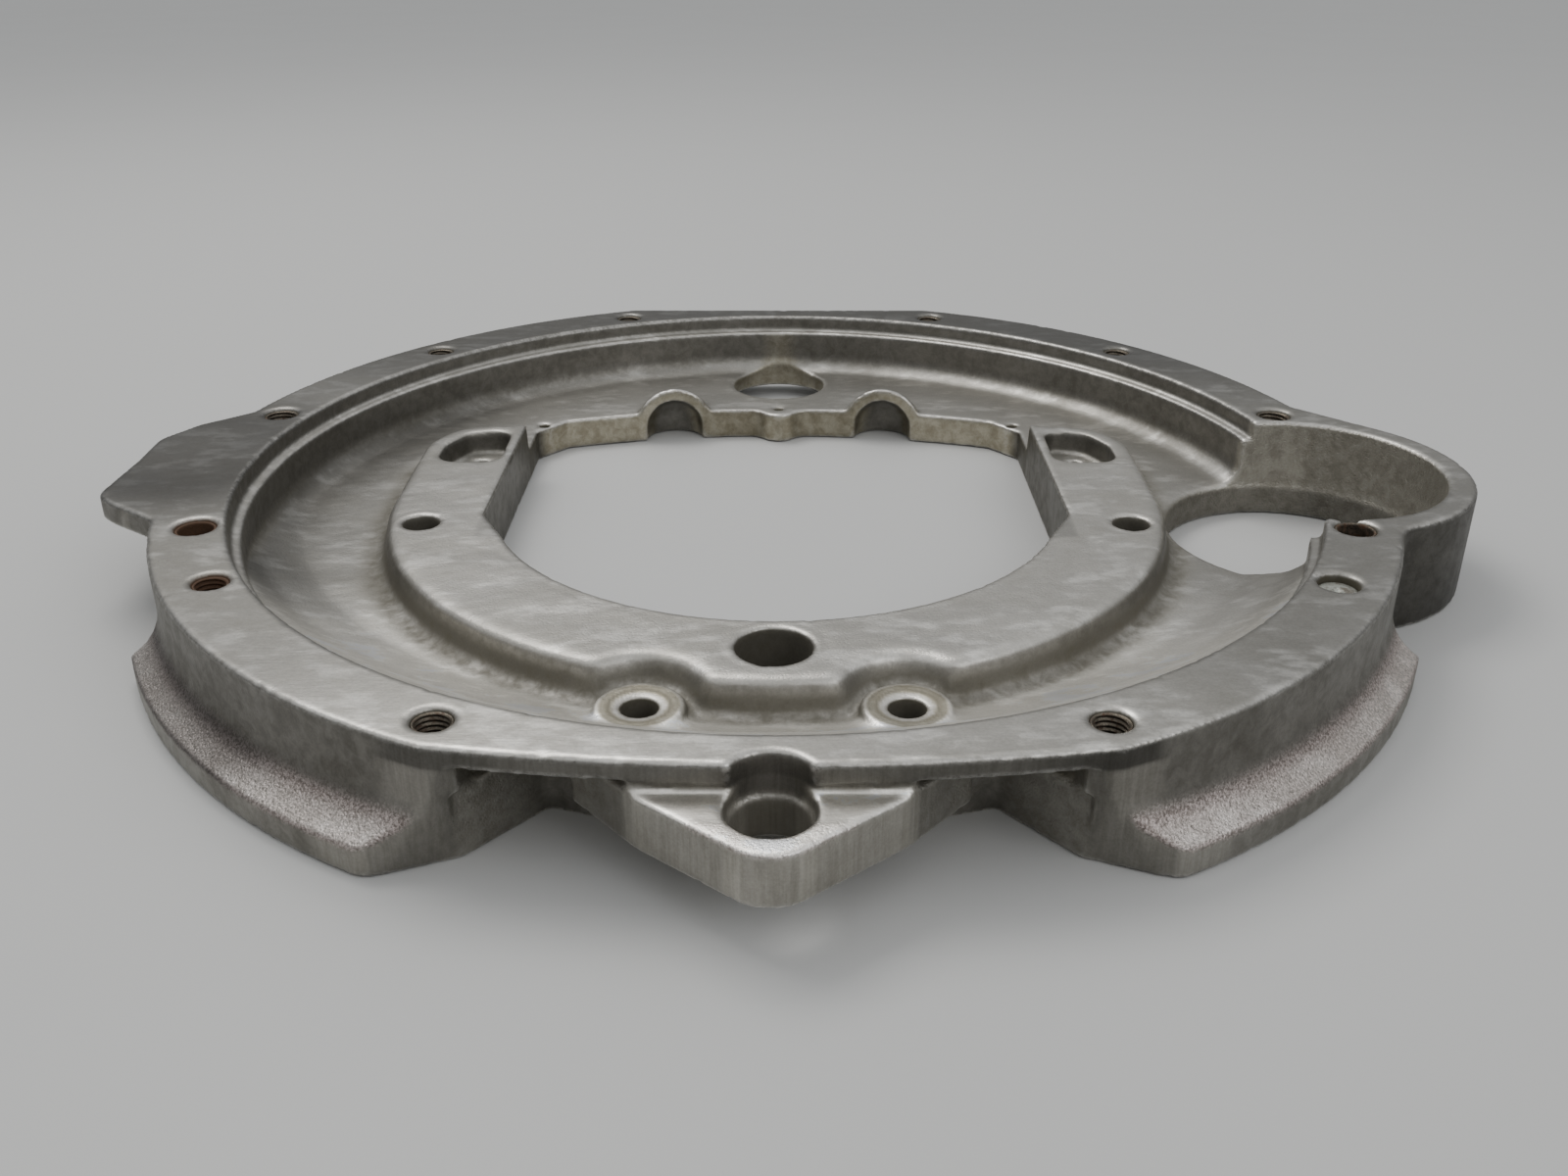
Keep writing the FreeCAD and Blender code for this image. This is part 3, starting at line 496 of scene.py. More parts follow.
def plug_material(settings):
    """Dull turned alloy with a green-grey stain."""
    n = Nodes("plug_alloy")
    patches = n.noise(330.0, 5.0, 0.7, 0.8)
    grain = n.noise(2200.0, 3.0, 0.6)
    colour = n.mix(n.ramp(patches, 0.35, 0.62), *PLUG_METAL)
    colour = n.mix(n.ramp(grain, 0.55, 0.75, 0.0, 0.6), colour, tuple(settings.grime_and_shade))
    return n.finish(colour, 0.75, n.ramp(patches, 0.3, 0.7, 0.6, 0.38), n.bump(grain, 0.2 * MM))


def floor_material(settings):
    """Plain, pale and slightly mottled."""
    n = Nodes("floor")
    mottle = n.noise(7.0, 3.0, 0.5)
    colour = n.mix(mottle, tuple(settings.floor), tuple(0.96 * c for c in settings.floor))
    return n.finish(colour, 0.0, n.ramp(mottle, 0.0, 1.0, 0.55, 0.65), n.bump(n.noise(900.0), 0.02 * MM))


# --- The casting ------------------------------------------------------------------------------------------

class Hole:
    """A round hole seen from above: its centre and radius in metres."""

    def __init__(self, x, y, radius):
        self.x, self.y, self.radius = x, y, radius

    def beyond(self, x, y):
        """Distance outwards from the hole's wall."""
        return np.hypot(x - self.x, y - self.y) - self.radius


def node_hole(node):
    """The hole that a round upright node fills."""
    centre, radius, _, _ = node_cylinder(node)
    return Hole(*centre, radius)


def mount_holes(name):
    """The round hole, or the pair of holes, of one of the record's mounts."""
    x, y, _ = MOUNTS[name]["pos_m"]
    dims = MOUNTS[name]["dims"]
    if "spacing_x_mm" not in dims:
        return [Hole(x, y, dims["r_mm"] * MM)]
    half = dims["spacing_x_mm"] / 2.0 * MM
    return [Hole(x + aside, y, dims["hole_r_mm"] * MM) for aside in (-half, half)]


def opening_middle(name):
    low, high = OPENINGS[name]["box_m"]
    return (low[0] + high[0]) / 2.0, (low[1] + high[1]) / 2.0


BOSSES = mount_holes("web_front_screws")
ARM_HOLES = mount_holes("plateau_arm_screws")
FRONT_HOLE = mount_holes("plateau_front_hole")
BRACE_HOLE = mount_holes("brace_hole")
STARTER = mount_holes("starter_register")[0]
EYE = Hole(*opening_middle("rear_eye"), 21.0 * MM)

BOSS_FACE_Z = 18.0 * MM
BOSS_CLEARANCE_R = 16.0 * MM            # the plateau stands back this far from each boss
WASHER_R = 8.4 * MM                     # print of a washer on each boss
WASHER_DEPTH = 0.35 * MM
SPOTFACE_R = 11.0 * MM

DISH_R = 183.0 * MM
LIP_R = 188.0 * MM
BAND_R = 212.0 * MM
FOOT_R = 222.0 * MM
BAND_Z = 36.0 * MM                      # the band's face lies above this
FLANGE_FRONT_Y = -191.0 * MM
FLANGE_UNDER_Z = 30.5 * MM              # the front flange's edge lies above this
RECESS_BACK_Y = -172.0 * MM
COVE_TOP_Z = 26.0 * MM
FEET_BACK_Y = -30.0 * MM
FOOT_INNER_X = 80.0 * MM
LOBE_X, LOBE_Y = -212.0 * MM, 4.0 * MM
STARTER_STEP_Z = 10.0 * MM

BRACE_BACK_Y = -200.5 * MM
BRACE_HALF_X = 40.0 * MM
BRACE_TOP_Z = 29.5 * MM

OPENING_R = 101.5 * MM
OPENING_HALF_X = 103.3 * MM
OPENING_FRONT_Y = -40.0 * MM
OPENING_REAR_Y = 124.0 * MM
RIM_MIDDLE_Y = 124.5 * MM
RIM_HALF_X = 95.0 * MM
RIM_TOP_Z = 23.0 * MM

PLATEAU_FOOT_R = 141.0 * MM
PLATEAU_Z = 24.5 * MM
PLATEAU_CORNER_X, PLATEAU_CORNER_Y = 113.5 * MM, 47.0 * MM
PLATEAU_CORNER_R = 28.0 * MM
SCOOP_X, SCOOP_Y = 119.0 * MM, 49.0 * MM
SCOOP_HALF_X, SCOOP_HALF_Y = 12.0 * MM, 19.0 * MM

# What each region of the casting adds to its levels of finish. A tone of 1 is plain metal. The tone amounts are
# mostly painted light and shade; those of the spotface and the washer are the metal's own colour.
PLAIN_LEVELS = {"tone": 1.0, "warm": 0.12, "pink": 0.0, "grain": 0.0, "stain": 0.0}
LEVEL_LIMITS = {"tone": (0.15, 2.2), "warm": (0.0, 0.9), "pink": (0.0, 1.0), "grain": (0.0, 1.0), "stain": (0.0, 1.0)}
REGION_LEVELS = {
    # Painted shade: upright faces are darkened, as the light from above reaches them less.
    "upright": {"tone": -0.42, "warm": 0.14},
    # The tone amounts of the band, web, plateau, walls, starter, recess, brace, feet, flange and cove are painted
    # light and shade, set region by region as the light fell on them.
    "band_rear": {"tone": -0.58},
    "band_left": {"tone": -0.62},
    "band_side": {"tone": -0.16},
    "band_front": {"tone": 0.16},
    "web": {"grain": 0.12},
    "web_rear": {"tone": -0.10},
    "web_front": {"tone": 1.15},
    "web_left": {"tone": -0.18},
    "web_left_rim": {"tone": -0.34},
    "web_rear_right": {"tone": 0.14},
    "plateau": {"tone": 0.18},
    "plateau_right": {"tone": 0.14},
    "outside": {"tone": -0.12, "grain": 0.15},
    "opening_wall": {"tone": -0.28, "warm": 0.20},
    "rear_rim": {"tone": 0.50, "warm": 0.55},
    "eye_wall": {"tone": 0.32, "warm": 0.50},
    "starter_wall": {"tone": 0.42, "warm": 0.14, "grain": 0.55},
    "starter_low": {"tone": -0.38},
    "starter_outside": {"tone": -0.22},
    "recess": {"tone": 0.30, "grain": 0.35},
    "brace_side": {"tone": 0.48},
    "brace_top": {"tone": 1.00},
    "brace_side_right": {"tone": -0.32},
    "foot_end": {"tone": 0.20},
    "foot_face": {"tone": 0.20},
    "flange_edge": {"tone": -0.16},
    "flange_edge_right": {"tone": -0.10},
    "cove": {"tone": 0.20, "pink": 0.80, "grain": 0.55},
    "cove_low": {"tone": 0.30, "pink": -0.40, "grain": 0.40},
    "cove_left": {"tone": -0.62},
    # The spotface's dark tone and the washer print's bright tone are the metal's own colour.
    "spotface": {"tone": -1.15},
    "spotface_rim": {"warm": 0.60},
    "washer": {"tone": 0.55},
    "washer_ring": {"stain": 0.70},
    "plateau_foot": {"stain": 0.80},
}


def above(values, limit, blend):
    """0 up to the limit, rising smoothly to 1 at blend beyond it."""
    return smooth_step(limit, limit + blend, values)


def below(values, limit, blend):
    """1 up to the limit, falling smoothly to 0 at blend beyond it."""
    return 1.0 - above(values, limit, blend)


def opening_distance(x, y):
    """About how far a place is outside the crankshaft opening; negative inside it."""
    side = np.maximum(np.abs(x) - OPENING_HALF_X, np.maximum(y - OPENING_REAR_Y, OPENING_FRONT_Y - y))
    return np.minimum(np.hypot(x, y) - OPENING_R, side)


def plateau_distance(x, y):
    """About how far a place is outside the plateau's foot; negative on the plateau."""
    aside = np.abs(x) - PLATEAU_CORNER_X
    behind = y - PLATEAU_CORNER_Y
    inward = np.minimum(np.maximum(aside, behind), 0.0)
    square = np.hypot(np.maximum(aside, 0.0), np.maximum(behind, 0.0)) + inward - PLATEAU_CORNER_R
    distance = np.where(y < 0.0, np.hypot(x, y) - PLATEAU_FOOT_R, square)
    for boss in BOSSES:
        distance = np.maximum(distance, BOSS_CLEARANCE_R - np.hypot(x - boss.x, y - boss.y))
    return distance


def rear_rim_distance(x, y):
    """How far a place is from the shallow arc of the opening's rear rim."""
    rim_y = RIM_MIDDLE_Y - 15.0 * MM * (x / (92.0 * MM)) ** 2
    return np.maximum(np.abs(y - rim_y), np.abs(x) - RIM_HALF_X)


def soft_share(x, y, z):
    """1 where the casting's skin is as cast and its edges are round: the inside of the dish."""
    share = below(np.hypot(x, y), DISH_R - 3.0 * MM, 4.0 * MM) * above(opening_distance(x, y), 2.0 * MM, 4.0 * MM)
    for hole in BOSSES:
        share = share * above(hole.beyond(x, y), 6.5 * MM, 3.0 * MM)
    for hole in ARM_HOLES + FRONT_HOLE + [EYE]:
        share = share * above(hole.beyond(x, y), 2.0 * MM, 3.0 * MM)
    scoop = np.maximum(np.abs(np.abs(x) - SCOOP_X) - SCOOP_HALF_X, np.abs(y - SCOOP_Y) - SCOOP_HALF_Y)
    share = share * (0.4 + 0.6 * above(scoop, 0.0, 5.0 * MM))
    return share * above(z, 1.0 * MM, 3.0 * MM) * above(STARTER.beyond(x, y), 0.0, 6.0 * MM)


def boss_shares(x, y, z):
    """The washer's print, the ring round it and the whole spotface of the two bosses."""
    washer, ring, spotface = (np.zeros(len(x)) for _ in range(3))
    for boss in BOSSES:
        from_middle = np.hypot(x - boss.x, y - boss.y)
        on_face = below(np.abs(z - BOSS_FACE_Z), 0.9 * MM, 0.7 * MM)
        washer = np.maximum(washer, below(from_middle, 7.3 * MM, 0.9 * MM) * on_face)
        from_ring = np.abs(from_middle - WASHER_R - 0.5 * MM)
        ring = np.maximum(ring, below(from_ring, 0.3 * MM, 0.7 * MM) * on_face)
        spotface = np.maximum(spotface, below(from_middle, SPOTFACE_R, 1.0 * MM) * on_face)
    return washer, ring, spotface


def region_shares(points, normals):
    """How far each point belongs to each region, from where it lies and which way it faces."""
    x, y, z = points.T
    radius = np.hypot(x, y)
    rise = normals[:, 2]
    from_opening = opening_distance(x, y)
    from_starter = STARTER.beyond(x, y)
    from_plateau = plateau_distance(x, y)

    upright = 1.0 - smooth_step(0.35, 0.75, np.abs(rise))
    lying = 1.0 - upright
    left = below(x, -150.0 * MM, 50.0 * MM)
    right = above(x, 20.0 * MM, 60.0 * MM)
    far = above(y, 10.0 * MM, 130.0 * MM) * lying
    beside_feet = below(y, FEET_BACK_Y, 30.0 * MM)

    dish = below(radius, DISH_R, 2.0 * MM) * above(from_opening, -1.0 * MM, 2.0 * MM)
    web = dish * lying
    plateau = below(np.abs(z - PLATEAU_Z), 1.5 * MM, 1.5 * MM) * web * below(y, 30.0 * MM, 50.0 * MM)
    band = above(radius, LIP_R - 1.0 * MM, 1.0 * MM) * above(z, BAND_Z, 1.0 * MM) * lying

    starter_wall = below(np.abs(from_starter), 3.0 * MM, 3.0 * MM) * above(from_opening, 5.0 * MM, 3.0 * MM) * upright
    starter_outside = above(from_starter, 5.0 * MM, 2.0 * MM) * below(from_starter, 14.0 * MM, 4.0 * MM)

    milled = smooth_step(0.5, 0.8, -normals[:, 1]) * upright * below(y, FLANGE_FRONT_Y, 4.0 * MM)
    brace = below(y, BRACE_BACK_Y, 2.0 * MM) * below(np.abs(x), BRACE_HALF_X, 5.0 * MM)
    brace = brace * below(z, BRACE_TOP_Z, 1.5 * MM)
    recess = below(y, RECESS_BACK_Y, 7.0 * MM) * below(z, FLANGE_UNDER_Z - 0.5 * MM, 3.0 * MM)
    flange_edge = milled * above(z, FLANGE_UNDER_Z, 1.5 * MM)
    foot_face = below(np.abs(radius - FOOT_R), 1.0 * MM, 1.0 * MM) * upright * beside_feet
    cove = above(radius, BAND_R + 0.2 * MM, 2.3 * MM) * below(z, COVE_TOP_Z, 5.0 * MM) * beside_feet
    cove = cove * smooth_step(0.05, 0.3, rise)
    at_foot = below(from_plateau, 2.5 * MM, 9.5 * MM) * above(from_plateau, -3.5 * MM, 2.5 * MM)
    washer, ring, spotface = boss_shares(x, y, z)

    return {
        "upright": upright,
        "band_rear": band * far,
        "band_left": band * below(np.hypot(x - LOBE_X, y - LOBE_Y), 30.0 * MM, 50.0 * MM),
        "band_side": band * above(np.abs(x), 90.0 * MM, 60.0 * MM) * below(y, -60.0 * MM, 80.0 * MM),
        "band_front": band * below(y, -185.0 * MM, 35.0 * MM),
        "web": web,
        "web_rear": dish * far,
        "web_front": web * above(from_plateau, 0.0, 8.0 * MM) * below(y, -120.0 * MM, 70.0 * MM),
        "web_left": web * left * below(-y, 40.0 * MM, 50.0 * MM),
        "web_left_rim": web * left * above(radius, 152.0 * MM, 30.0 * MM) * below(-y, 60.0 * MM, 50.0 * MM),
        "web_rear_right": web * right * above(y, 60.0 * MM, 60.0 * MM),
        "plateau": plateau,
        "plateau_right": plateau * right,
        "outside": above(radius, BAND_R - 6.0 * MM, 5.0 * MM) * upright,
        "opening_wall": below(np.abs(from_opening), 2.0 * MM, 3.0 * MM) * upright,
        "rear_rim": below(rear_rim_distance(x, y), 6.0 * MM, 4.0 * MM) * below(z, RIM_TOP_Z, 3.0 * MM) * upright,
        "eye_wall": below(np.abs(EYE.beyond(x, y)), 1.5 * MM, 2.5 * MM) * upright,
        "starter_wall": starter_wall,
        "starter_low": starter_wall * below(z, STARTER_STEP_Z, 2.5 * MM),
        "starter_outside": starter_outside * above(radius, BAND_R, 2.0 * MM) * upright,
        "recess": recess * (1.0 - milled) * (1.0 - brace) * below(radius, BAND_R - 4.0 * MM, 3.0 * MM),
        "brace": brace,
        "brace_side": brace * upright,
        "brace_top": brace * lying,
        "brace_side_right": brace * upright * right,
        "milled": milled,
        "foot_end": milled * below(z, FLANGE_UNDER_Z, 1.5 * MM) * above(np.abs(x), FOOT_INNER_X, 5.0 * MM),
        "foot_face": foot_face * above(from_starter, 10.0 * MM, 4.0 * MM),
        "flange_edge": flange_edge,
        "flange_edge_right": flange_edge * right,
        "cove": cove,
        "cove_low": cove * smooth_step(0.45, 0.8, rise),
        "cove_left": cove * left * above(y, -178.0 * MM, 18.0 * MM),
        "spotface": spotface,
        "spotface_rim": spotface * (1.0 - washer),
        "washer": washer,
        "washer_ring": ring,
        "plateau_foot": at_foot * below(z, 18.0 * MM, 4.0 * MM) * dish * (1.0 - spotface),
    }


def finish_and_light_levels(shares):
    """The casting's levels of finish and of painted light and shade at each point, summed over its regions."""
    levels = {name: np.full(len(shares["upright"]), level) for name, level in PLAIN_LEVELS.items()}
    for region, adds in REGION_LEVELS.items():
        for name, amount in adds.items():
            levels[name] = levels[name] + amount * shares[region]
    for name, (low, high) in LEVEL_LIMITS.items():
        levels[name] = np.clip(levels[name], low, high)
    levels["upright"] = shares["upright"]
    levels["milled"] = np.clip(shares["milled"] + shares["brace_side"], 0.0, 1.0)
    return levels


def near_holes(points, holes, reach):
    """1 inside or beside the holes, falling to 0 at reach beyond their walls."""
    share = np.zeros(len(points))
    for hole in holes:
        share = np.maximum(share, 1.0 - smooth_step(0.0, reach, hole.beyond(points[:, 0], points[:, 1])))
    return share


# The skin is compared with a blurred copy of itself: it stands out at edges and lies back in hollows, where painted
# shade goes.
EDGE_BLUR, EDGE_HEIGHT = 1.5 * MM, 0.9 * MM
HOLLOW_BLUR, HOLLOW_DEPTH = 5.0 * MM, 2.4 * MM
LONG_WAVE, SHORT_WAVE = 30.0 * MM, 8.0 * MM
SHORT_NICK, LONG_NICK = 5.0 * MM, 11.0 * MM
# How far the painted shade reaches from bores and small holes, and how far the rust spreads.
THREAD_SHADE, BORE_SHADE, SMALL_BORE_SHADE, RUST_SPREAD = 0.5 * MM, 0.8 * MM, 0.4 * MM, 1.6 * MM


def build_casting(settings, rust_colour):
    """The casting's visible skin: its CAD solid as a distance field, softened, then waved and nicked."""
    field = DistanceField(frame["nodes"][CASTING].data, settings.voxel)
    x, y, z = (field.place(axis) for axis in range(3))
    crisp = gaussian(field.values, settings.machined_softness / settings.voxel)
    soft = gaussian(field.values, settings.cast_softness / settings.voxel)
    blend = soft_share(x, y, z).astype(np.float32)
    values = crisp + (soft - crisp) * blend
    for hole in BOSSES:
        washer = np.maximum(hole.beyond(x, y) + hole.radius - WASHER_R, BOSS_FACE_Z - WASHER_DEPTH - z)
        values = np.maximum(values, -washer.astype(np.float32))
    points, quads = field.surface(values)
    steps = field.in_steps(points)

    fine = gaussian(field.values, EDGE_BLUR / settings.voxel)
    wide = gaussian(field.values, HOLLOW_BLUR / settings.voxel)
    edge = np.clip(sampled(fine, steps) / EDGE_HEIGHT, 0.0, 1.0)
    hollow = np.clip(-sampled(wide, steps) / HOLLOW_DEPTH, 0.0, 1.0)
    cast_here = sampled(blend * np.ones_like(values), steps)

    mesh = mesh_from_quads("adapter_plate_casting", points, quads)
    normals = np.empty(len(mesh.vertices) * 3, np.float32)
    mesh.vertex_normals.foreach_get("vector", normals)
    normals = normals.reshape(-1, 3)
    shares = region_shares(points, normals)
    levels = finish_and_light_levels(shares)
    slow = waves(points, LONG_WAVE, seed=3) * 0.75 + waves(points, SHORT_WAVE, seed=5) * 0.25
    nicks = np.clip(waves(points, SHORT_NICK, seed=7) * waves(points, LONG_NICK, seed=11), 0.0, 1.5)
    move = slow * settings.waviness * (cast_here + 0.5 * levels["pink"])
    move = move - nicks * settings.nicks * edge * (1.0 - cast_here)
    points = points + normals * move[:, None]
    points[:, 2] = np.clip(points[:, 2], 0.0, FACE_Z)
    mesh.vertices.foreach_set("co", np.ascontiguousarray(points, dtype=np.float32).ravel())
    mesh.update()

    plain = BOSSES + ARM_HOLES + FRONT_HOLE + BRACE_HOLE
    small = mount_holes("rear_rim_screws") + mount_holes("rear_rim_middle_screw")
    lined = [node_hole(node) for node in DOWELS + INSERTS + [PLUG]]
    rusty = [node_hole(node) for node in ("hollow_dowel_left", "insert_left_lower")]
    # Painted shade: bore walls and the small holes are darkened.
    in_bore = np.maximum(
        near_holes(points, lined, THREAD_SHADE) * levels["upright"],
        near_holes(points, plain, BORE_SHADE) * levels["upright"] * 0.75,
    )
    levels["bore"] = np.maximum(in_bore, near_holes(points, small, SMALL_BORE_SHADE))
    levels["rust"] = near_holes(points, rusty, RUST_SPREAD) * (0.35 + 0.65 * levels["upright"])
    levels["edge"] = np.maximum(edge, 0.42 * shares["washer"])
    # The hollow share carries painted shade into corners, less on the washer and the brace.
    levels["hollow"] = hollow * (1.0 - shares["washer"]) * (1.0 - 0.7 * shares["brace"])
    for name, level in levels.items():
        set_attribute(mesh, name, level)
    mesh.materials.append(casting_material(settings, rust_colour))
    piece = new_object("adapter_plate_casting", mesh)
    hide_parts(CASTING)
    return piece


# --- The small pieces -------------------------------------------------------------------------------------

INSERT_WALL = 1.15 * MM
DOWEL_WALL = 0.9 * MM
DOWEL_LIP = 0.3 * MM
STEPS_PER_TURN = 8                      # rings of points along each turn of a thread


def node_cylinder(node):
    """Centre, radius, bottom and top of a round upright node."""
    low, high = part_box(node)
    return ((low.x + high.x) / 2.0, (low.y + high.y) / 2.0), (high.x - low.x) / 2.0, low.z, high.z


def turned_mesh(name, rings, around, centre, twist=None):
    """A closed skin of quads turned about a vertical line, from rings of (radius, height, marked).

    twist(angles, height) adds to the radius of the marked rings.
    """
    angles = np.arange(around) * 2.0 * math.pi / around
    points = []
    for radius, height, marked in rings:
        radii = np.full(around, radius)
        if marked and twist is not None:
            radii = radii + twist(angles, height)
        for angle, r in zip(angles, radii):
            points.append((centre[0] + r * math.cos(angle), centre[1] + r * math.sin(angle), height))
    faces = []
    for ring in range(len(rings)):
        here = ring * around
        after = (ring + 1) % len(rings) * around
        for step in range(around):
            beside = (step + 1) % around
            faces.append((here + step, here + beside, after + beside, after + step))
    mesh = bpy.data.meshes.new(name)
    mesh.from_pydata(points, [], faces)
    mesh.validate()
    shade_smooth(mesh)
    return mesh


def build_insert(node, settings, material):
    """A steel sleeve whose bore carries a real helical thread."""
    centre, outer, bottom, top = node_cylinder(node)
    inner = outer - INSERT_WALL
    pitch, depth = settings.thread_pitch, settings.thread_depth

    def helix(angles, height):
        phase = (height / pitch - angles / (2.0 * math.pi)) % 1.0
        return depth * (1.0 - np.abs(2.0 * phase - 1.0)) ** 0.8

    rings = [(outer, bottom, 0), (outer, top - 0.3 * MM, 0), (outer - 0.25 * MM, top, 0)]
    rings.append((inner + depth + 0.1 * MM, top, 0))
    steps = STEPS_PER_TURN * round((top - bottom) / pitch)
    for index in range(1, steps):
        rings.append((inner, top - (top - bottom) * index / steps, 1))
    rings.append((inner + depth, bottom, 0))
    mesh = turned_mesh(node + "_thread", rings, 40, centre, helix)
    mesh.materials.append(material)
    piece = new_object(node + "_thread", mesh)
    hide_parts(node)
    return piece


def build_dowel(node, settings, material):
    """A hollow dowel with rounded lips and a slightly pitted bore."""
    centre, outer, bottom, top = node_cylinder(node)
    inner = outer - DOWEL_WALL

    def pitting(angles, height):
        return 0.05 * MM * np.sin(5.0 * angles + height / (0.9 * MM)) * np.sin(3.0 * angles - height / (1.7 * MM))

    lip = DOWEL_LIP
    rings = [(outer, bottom + lip, 0), (outer, top - lip, 0), (outer - lip, top, 0), (inner + lip, top, 0)]
    steps = 24
    for index in range(steps + 1):
        rings.append((inner, top - lip - (top - bottom - 2.0 * lip) * index / steps, 1))
    rings.append((inner + lip, bottom, 0))
    rings.append((outer - lip, bottom, 0))
    mesh = turned_mesh(node + "_sleeve", rings, 64, centre, pitting)
    mesh.materials.append(material)
    piece = new_object(node + "_sleeve", mesh)
    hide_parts(node)
    return piece


def build_plug(settings, material):
    """A driven plug: a flat disc with a rounded rim and a punched centre."""
    centre, radius, bottom, top = node_cylinder(PLUG)
    profile = [
        (0.02 * MM, bottom), (radius - 0.5 * MM, bottom), (radius, bottom + 0.5 * MM), (radius, top - 0.8 * MM),
        (radius - 0.3 * MM, top - 0.3 * MM), (radius - 0.9 * MM, top), (radius * 0.62, top - 0.12 * MM),
        (1.9 * MM, top - 0.1 * MM), (1.5 * MM, top - 0.15 * MM), (0.7 * MM, top - 0.75 * MM),
        (0.02 * MM, top - 1.0 * MM),
    ]
    rings = [(r, z, 0) for r, z in profile]
    mesh = turned_mesh("blind_hole_plug_disc", rings, 48, centre)
    mesh.materials.append(material)
    piece = new_object("blind_hole_plug_disc", mesh)
    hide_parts(PLUG)
    return piece


# --- The stage --------------------------------------------------------------------------------------------

def build_floor(settings):
    half = 12.0
    mesh = bpy.data.meshes.new("floor")
    corners = [(-half, -half, 0.0), (half, -half, 0.0), (half, half, 0.0), (-half, half, 0.0)]
    mesh.from_pydata(corners, [], [(0, 1, 2, 3)])
    mesh.materials.append(floor_material(settings))
    floor = bpy.data.objects.new("floor", mesh)
    bpy.context.scene.collection.objects.link(floor)


def area_light(name, place, target, size, power, colour):
    light = bpy.data.lights.new(name, "AREA")
    light.shape = "RECTANGLE"
    light.size, light.size_y = size
    light.energy = power
    light.color = colour
    lamp = bpy.data.objects.new(name, light)
    lamp.location = place
    lamp.rotation_euler = (Vector(target) - Vector(place)).to_track_quat("-Z", "Y").to_euler()
    bpy.context.scene.collection.objects.link(lamp)


def build_sky(settings):
    """A studio that is dim near the horizon and bright overhead."""
    world = bpy.data.worlds.new("studio")
    bpy.context.scene.world = world
    world.use_nodes = True
    tree = world.node_tree
    place = tree.nodes.new("ShaderNodeTexCoord")
    split = tree.nodes.new("ShaderNodeSeparateXYZ")
    tree.links.new(place.outputs["Generated"], split.inputs[0])
    rise = tree.nodes.new("ShaderNodeMapRange")
    rise.interpolation_type = "SMOOTHSTEP"
    rise.inputs["From Min"].default_value = settings.sky_low
    rise.inputs["From Max"].default_value = settings.sky_high
    rise.inputs["To Min"].default_value = settings.sky_dim
    rise.inputs["To Max"].default_value = settings.sky_bright
    tree.links.new(split.outputs["Z"], rise.inputs["Value"])
    background = tree.nodes["Background"]
    background.inputs["Color"].default_value = (0.97, 0.985, 1.0, 1.0)
    tree.links.new(rise.outputs[0], background.inputs["Strength"])


def build_lights(settings):
    area_light("key_light", (-0.5, 0.5, 1.3), (0.0, -0.1, 0.0), (0.9, 0.6), settings.key_power, (1.0, 0.985, 0.96))
    area_light("fill_light", (0.8, -0.9, 0.8), (0.0, 0.0, 0.0), (0.8, 0.6), settings.fill_power, (0.97, 0.98, 1.0))
    build_sky(settings)


def build_camera(settings):
    data = bpy.data.cameras.new("camera")
    data.sensor_fit = "HORIZONTAL"
    data.sensor_width = 36.0
    data.lens = settings.camera_lens
    data.clip_start = 0.01
    camera = bpy.data.objects.new("camera", data)
    camera.location = settings.camera_place
    camera.rotation_euler = (math.pi / 2.0 - settings.camera_pitch, 0.0, settings.camera_turn)
    bpy.context.scene.collection.objects.link(camera)
    bpy.context.scene.camera = camera


# --- Operators --------------------------------------------------------------------------------------------

class PLATE_OT_casting(bpy.types.Operator):
    """Build the casting from its CAD solid, with broken machined edges and soft cast ones"""

    bl_idname = "plate.casting"
    bl_label = "Casting"

    def execute(self, context):
        scene = context.scene
        build_casting(scene.plate_casting, tuple(scene.plate_hardware.rust))
        return {"FINISHED"}


class PLATE_OT_inserts(bpy.types.Operator):
    """Build the thread inserts of the gearbox screw holes"""

    bl_idname = "plate.inserts"
    bl_label = "Thread inserts"

    def execute(self, context):
        settings = context.scene.plate_hardware
        clean = steel_material("insert_steel", settings, 0.15)
        rusty = steel_material("insert_steel_rusty", settings, 0.9)
        for node in INSERTS:
            build_insert(node, settings, rusty if node == "insert_left_lower" else clean)
        return {"FINISHED"}


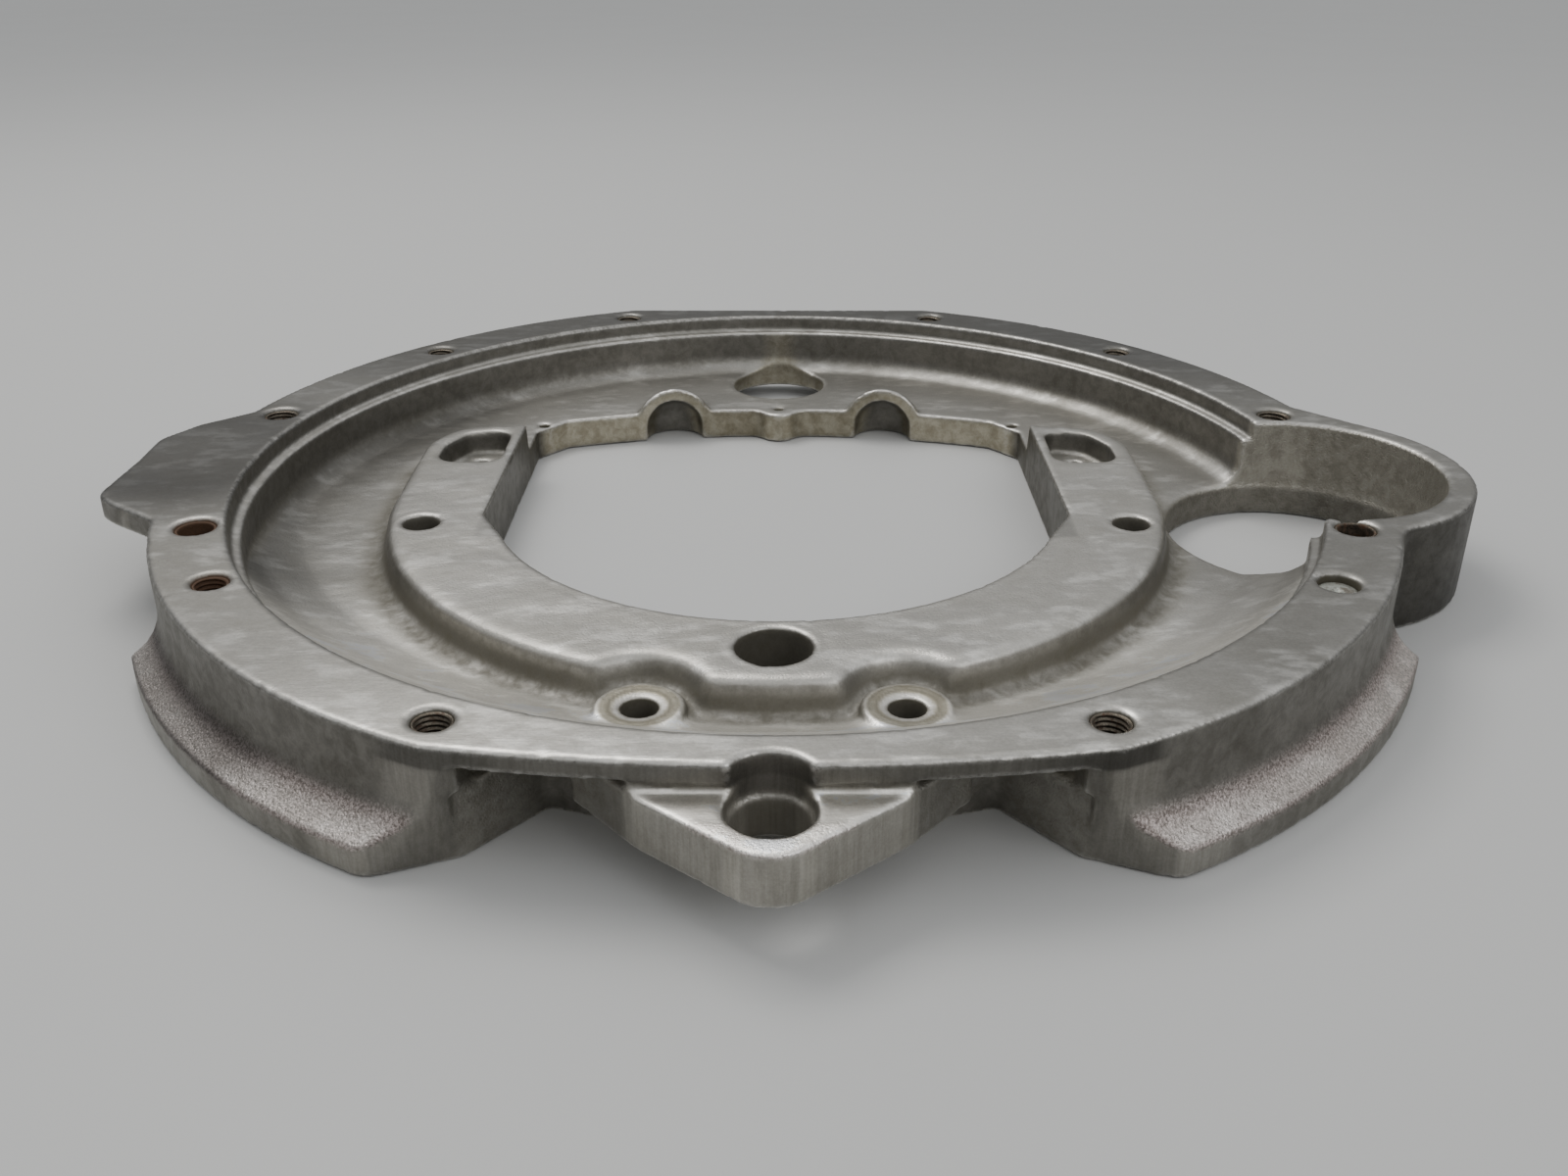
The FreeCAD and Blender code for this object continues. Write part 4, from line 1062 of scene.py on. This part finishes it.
class PLATE_OT_dowels(bpy.types.Operator):
    """Build the two hollow dowels"""

    bl_idname = "plate.dowels"
    bl_label = "Hollow dowels"

    def execute(self, context):
        settings = context.scene.plate_hardware
        rusty = steel_material("dowel_steel_rusty", settings, 0.9)
        clean = steel_material("dowel_steel", settings, 0.4)
        for node in DOWELS:
            build_dowel(node, settings, rusty if node == "hollow_dowel_left" else clean)
        return {"FINISHED"}


class PLATE_OT_plug(bpy.types.Operator):
    """Build the plug in the blind hole"""

    bl_idname = "plate.plug"
    bl_label = "Blind hole plug"

    def execute(self, context):
        scene = context.scene
        build_plug(scene.plate_hardware, plug_material(scene.plate_casting))
        return {"FINISHED"}


class PLATE_OT_stage(bpy.types.Operator):
    """Build the floor, the lights and the camera"""

    bl_idname = "plate.stage"
    bl_label = "Stage"

    def execute(self, context):
        settings = context.scene.plate_stage
        build_floor(settings)
        build_lights(settings)
        build_camera(settings)
        return {"FINISHED"}


class PLATE_PT_panel(bpy.types.Panel):
    """Lists the builders of the adapter plate"""

    bl_idname = "PLATE_PT_panel"
    bl_label = "Adapter Plate"
    bl_space_type = "VIEW_3D"
    bl_region_type = "UI"
    bl_category = "Adapter Plate"

    def draw(self, context):
        for group in (context.scene.plate_casting, context.scene.plate_hardware, context.scene.plate_stage):
            for name in group.__annotations__:
                self.layout.prop(group, name)
        for operator in OPERATORS:
            self.layout.operator(operator.bl_idname)


OPERATORS = (PLATE_OT_stage, PLATE_OT_casting, PLATE_OT_inserts, PLATE_OT_dowels, PLATE_OT_plug)
GROUPS = {"plate_casting": CastingSettings, "plate_hardware": HardwareSettings, "plate_stage": StageSettings}


def register():
    for group in GROUPS.values():
        bpy.utils.register_class(group)
    for operator in OPERATORS:
        bpy.utils.register_class(operator)
    bpy.utils.register_class(PLATE_PT_panel)
    for name, group in GROUPS.items():
        setattr(bpy.types.Scene, name, bpy.props.PointerProperty(type=group))


def unregister():
    for name in GROUPS:
        delattr(bpy.types.Scene, name)
    bpy.utils.unregister_class(PLATE_PT_panel)
    for operator in reversed(OPERATORS):
        bpy.utils.unregister_class(operator)
    for group in reversed(list(GROUPS.values())):
        bpy.utils.unregister_class(group)


def main():
    register()
    bpy.ops.plate.stage()
    bpy.ops.plate.casting()
    bpy.ops.plate.inserts()
    bpy.ops.plate.dowels()
    bpy.ops.plate.plug()


if __name__ == "__main__":
    main()
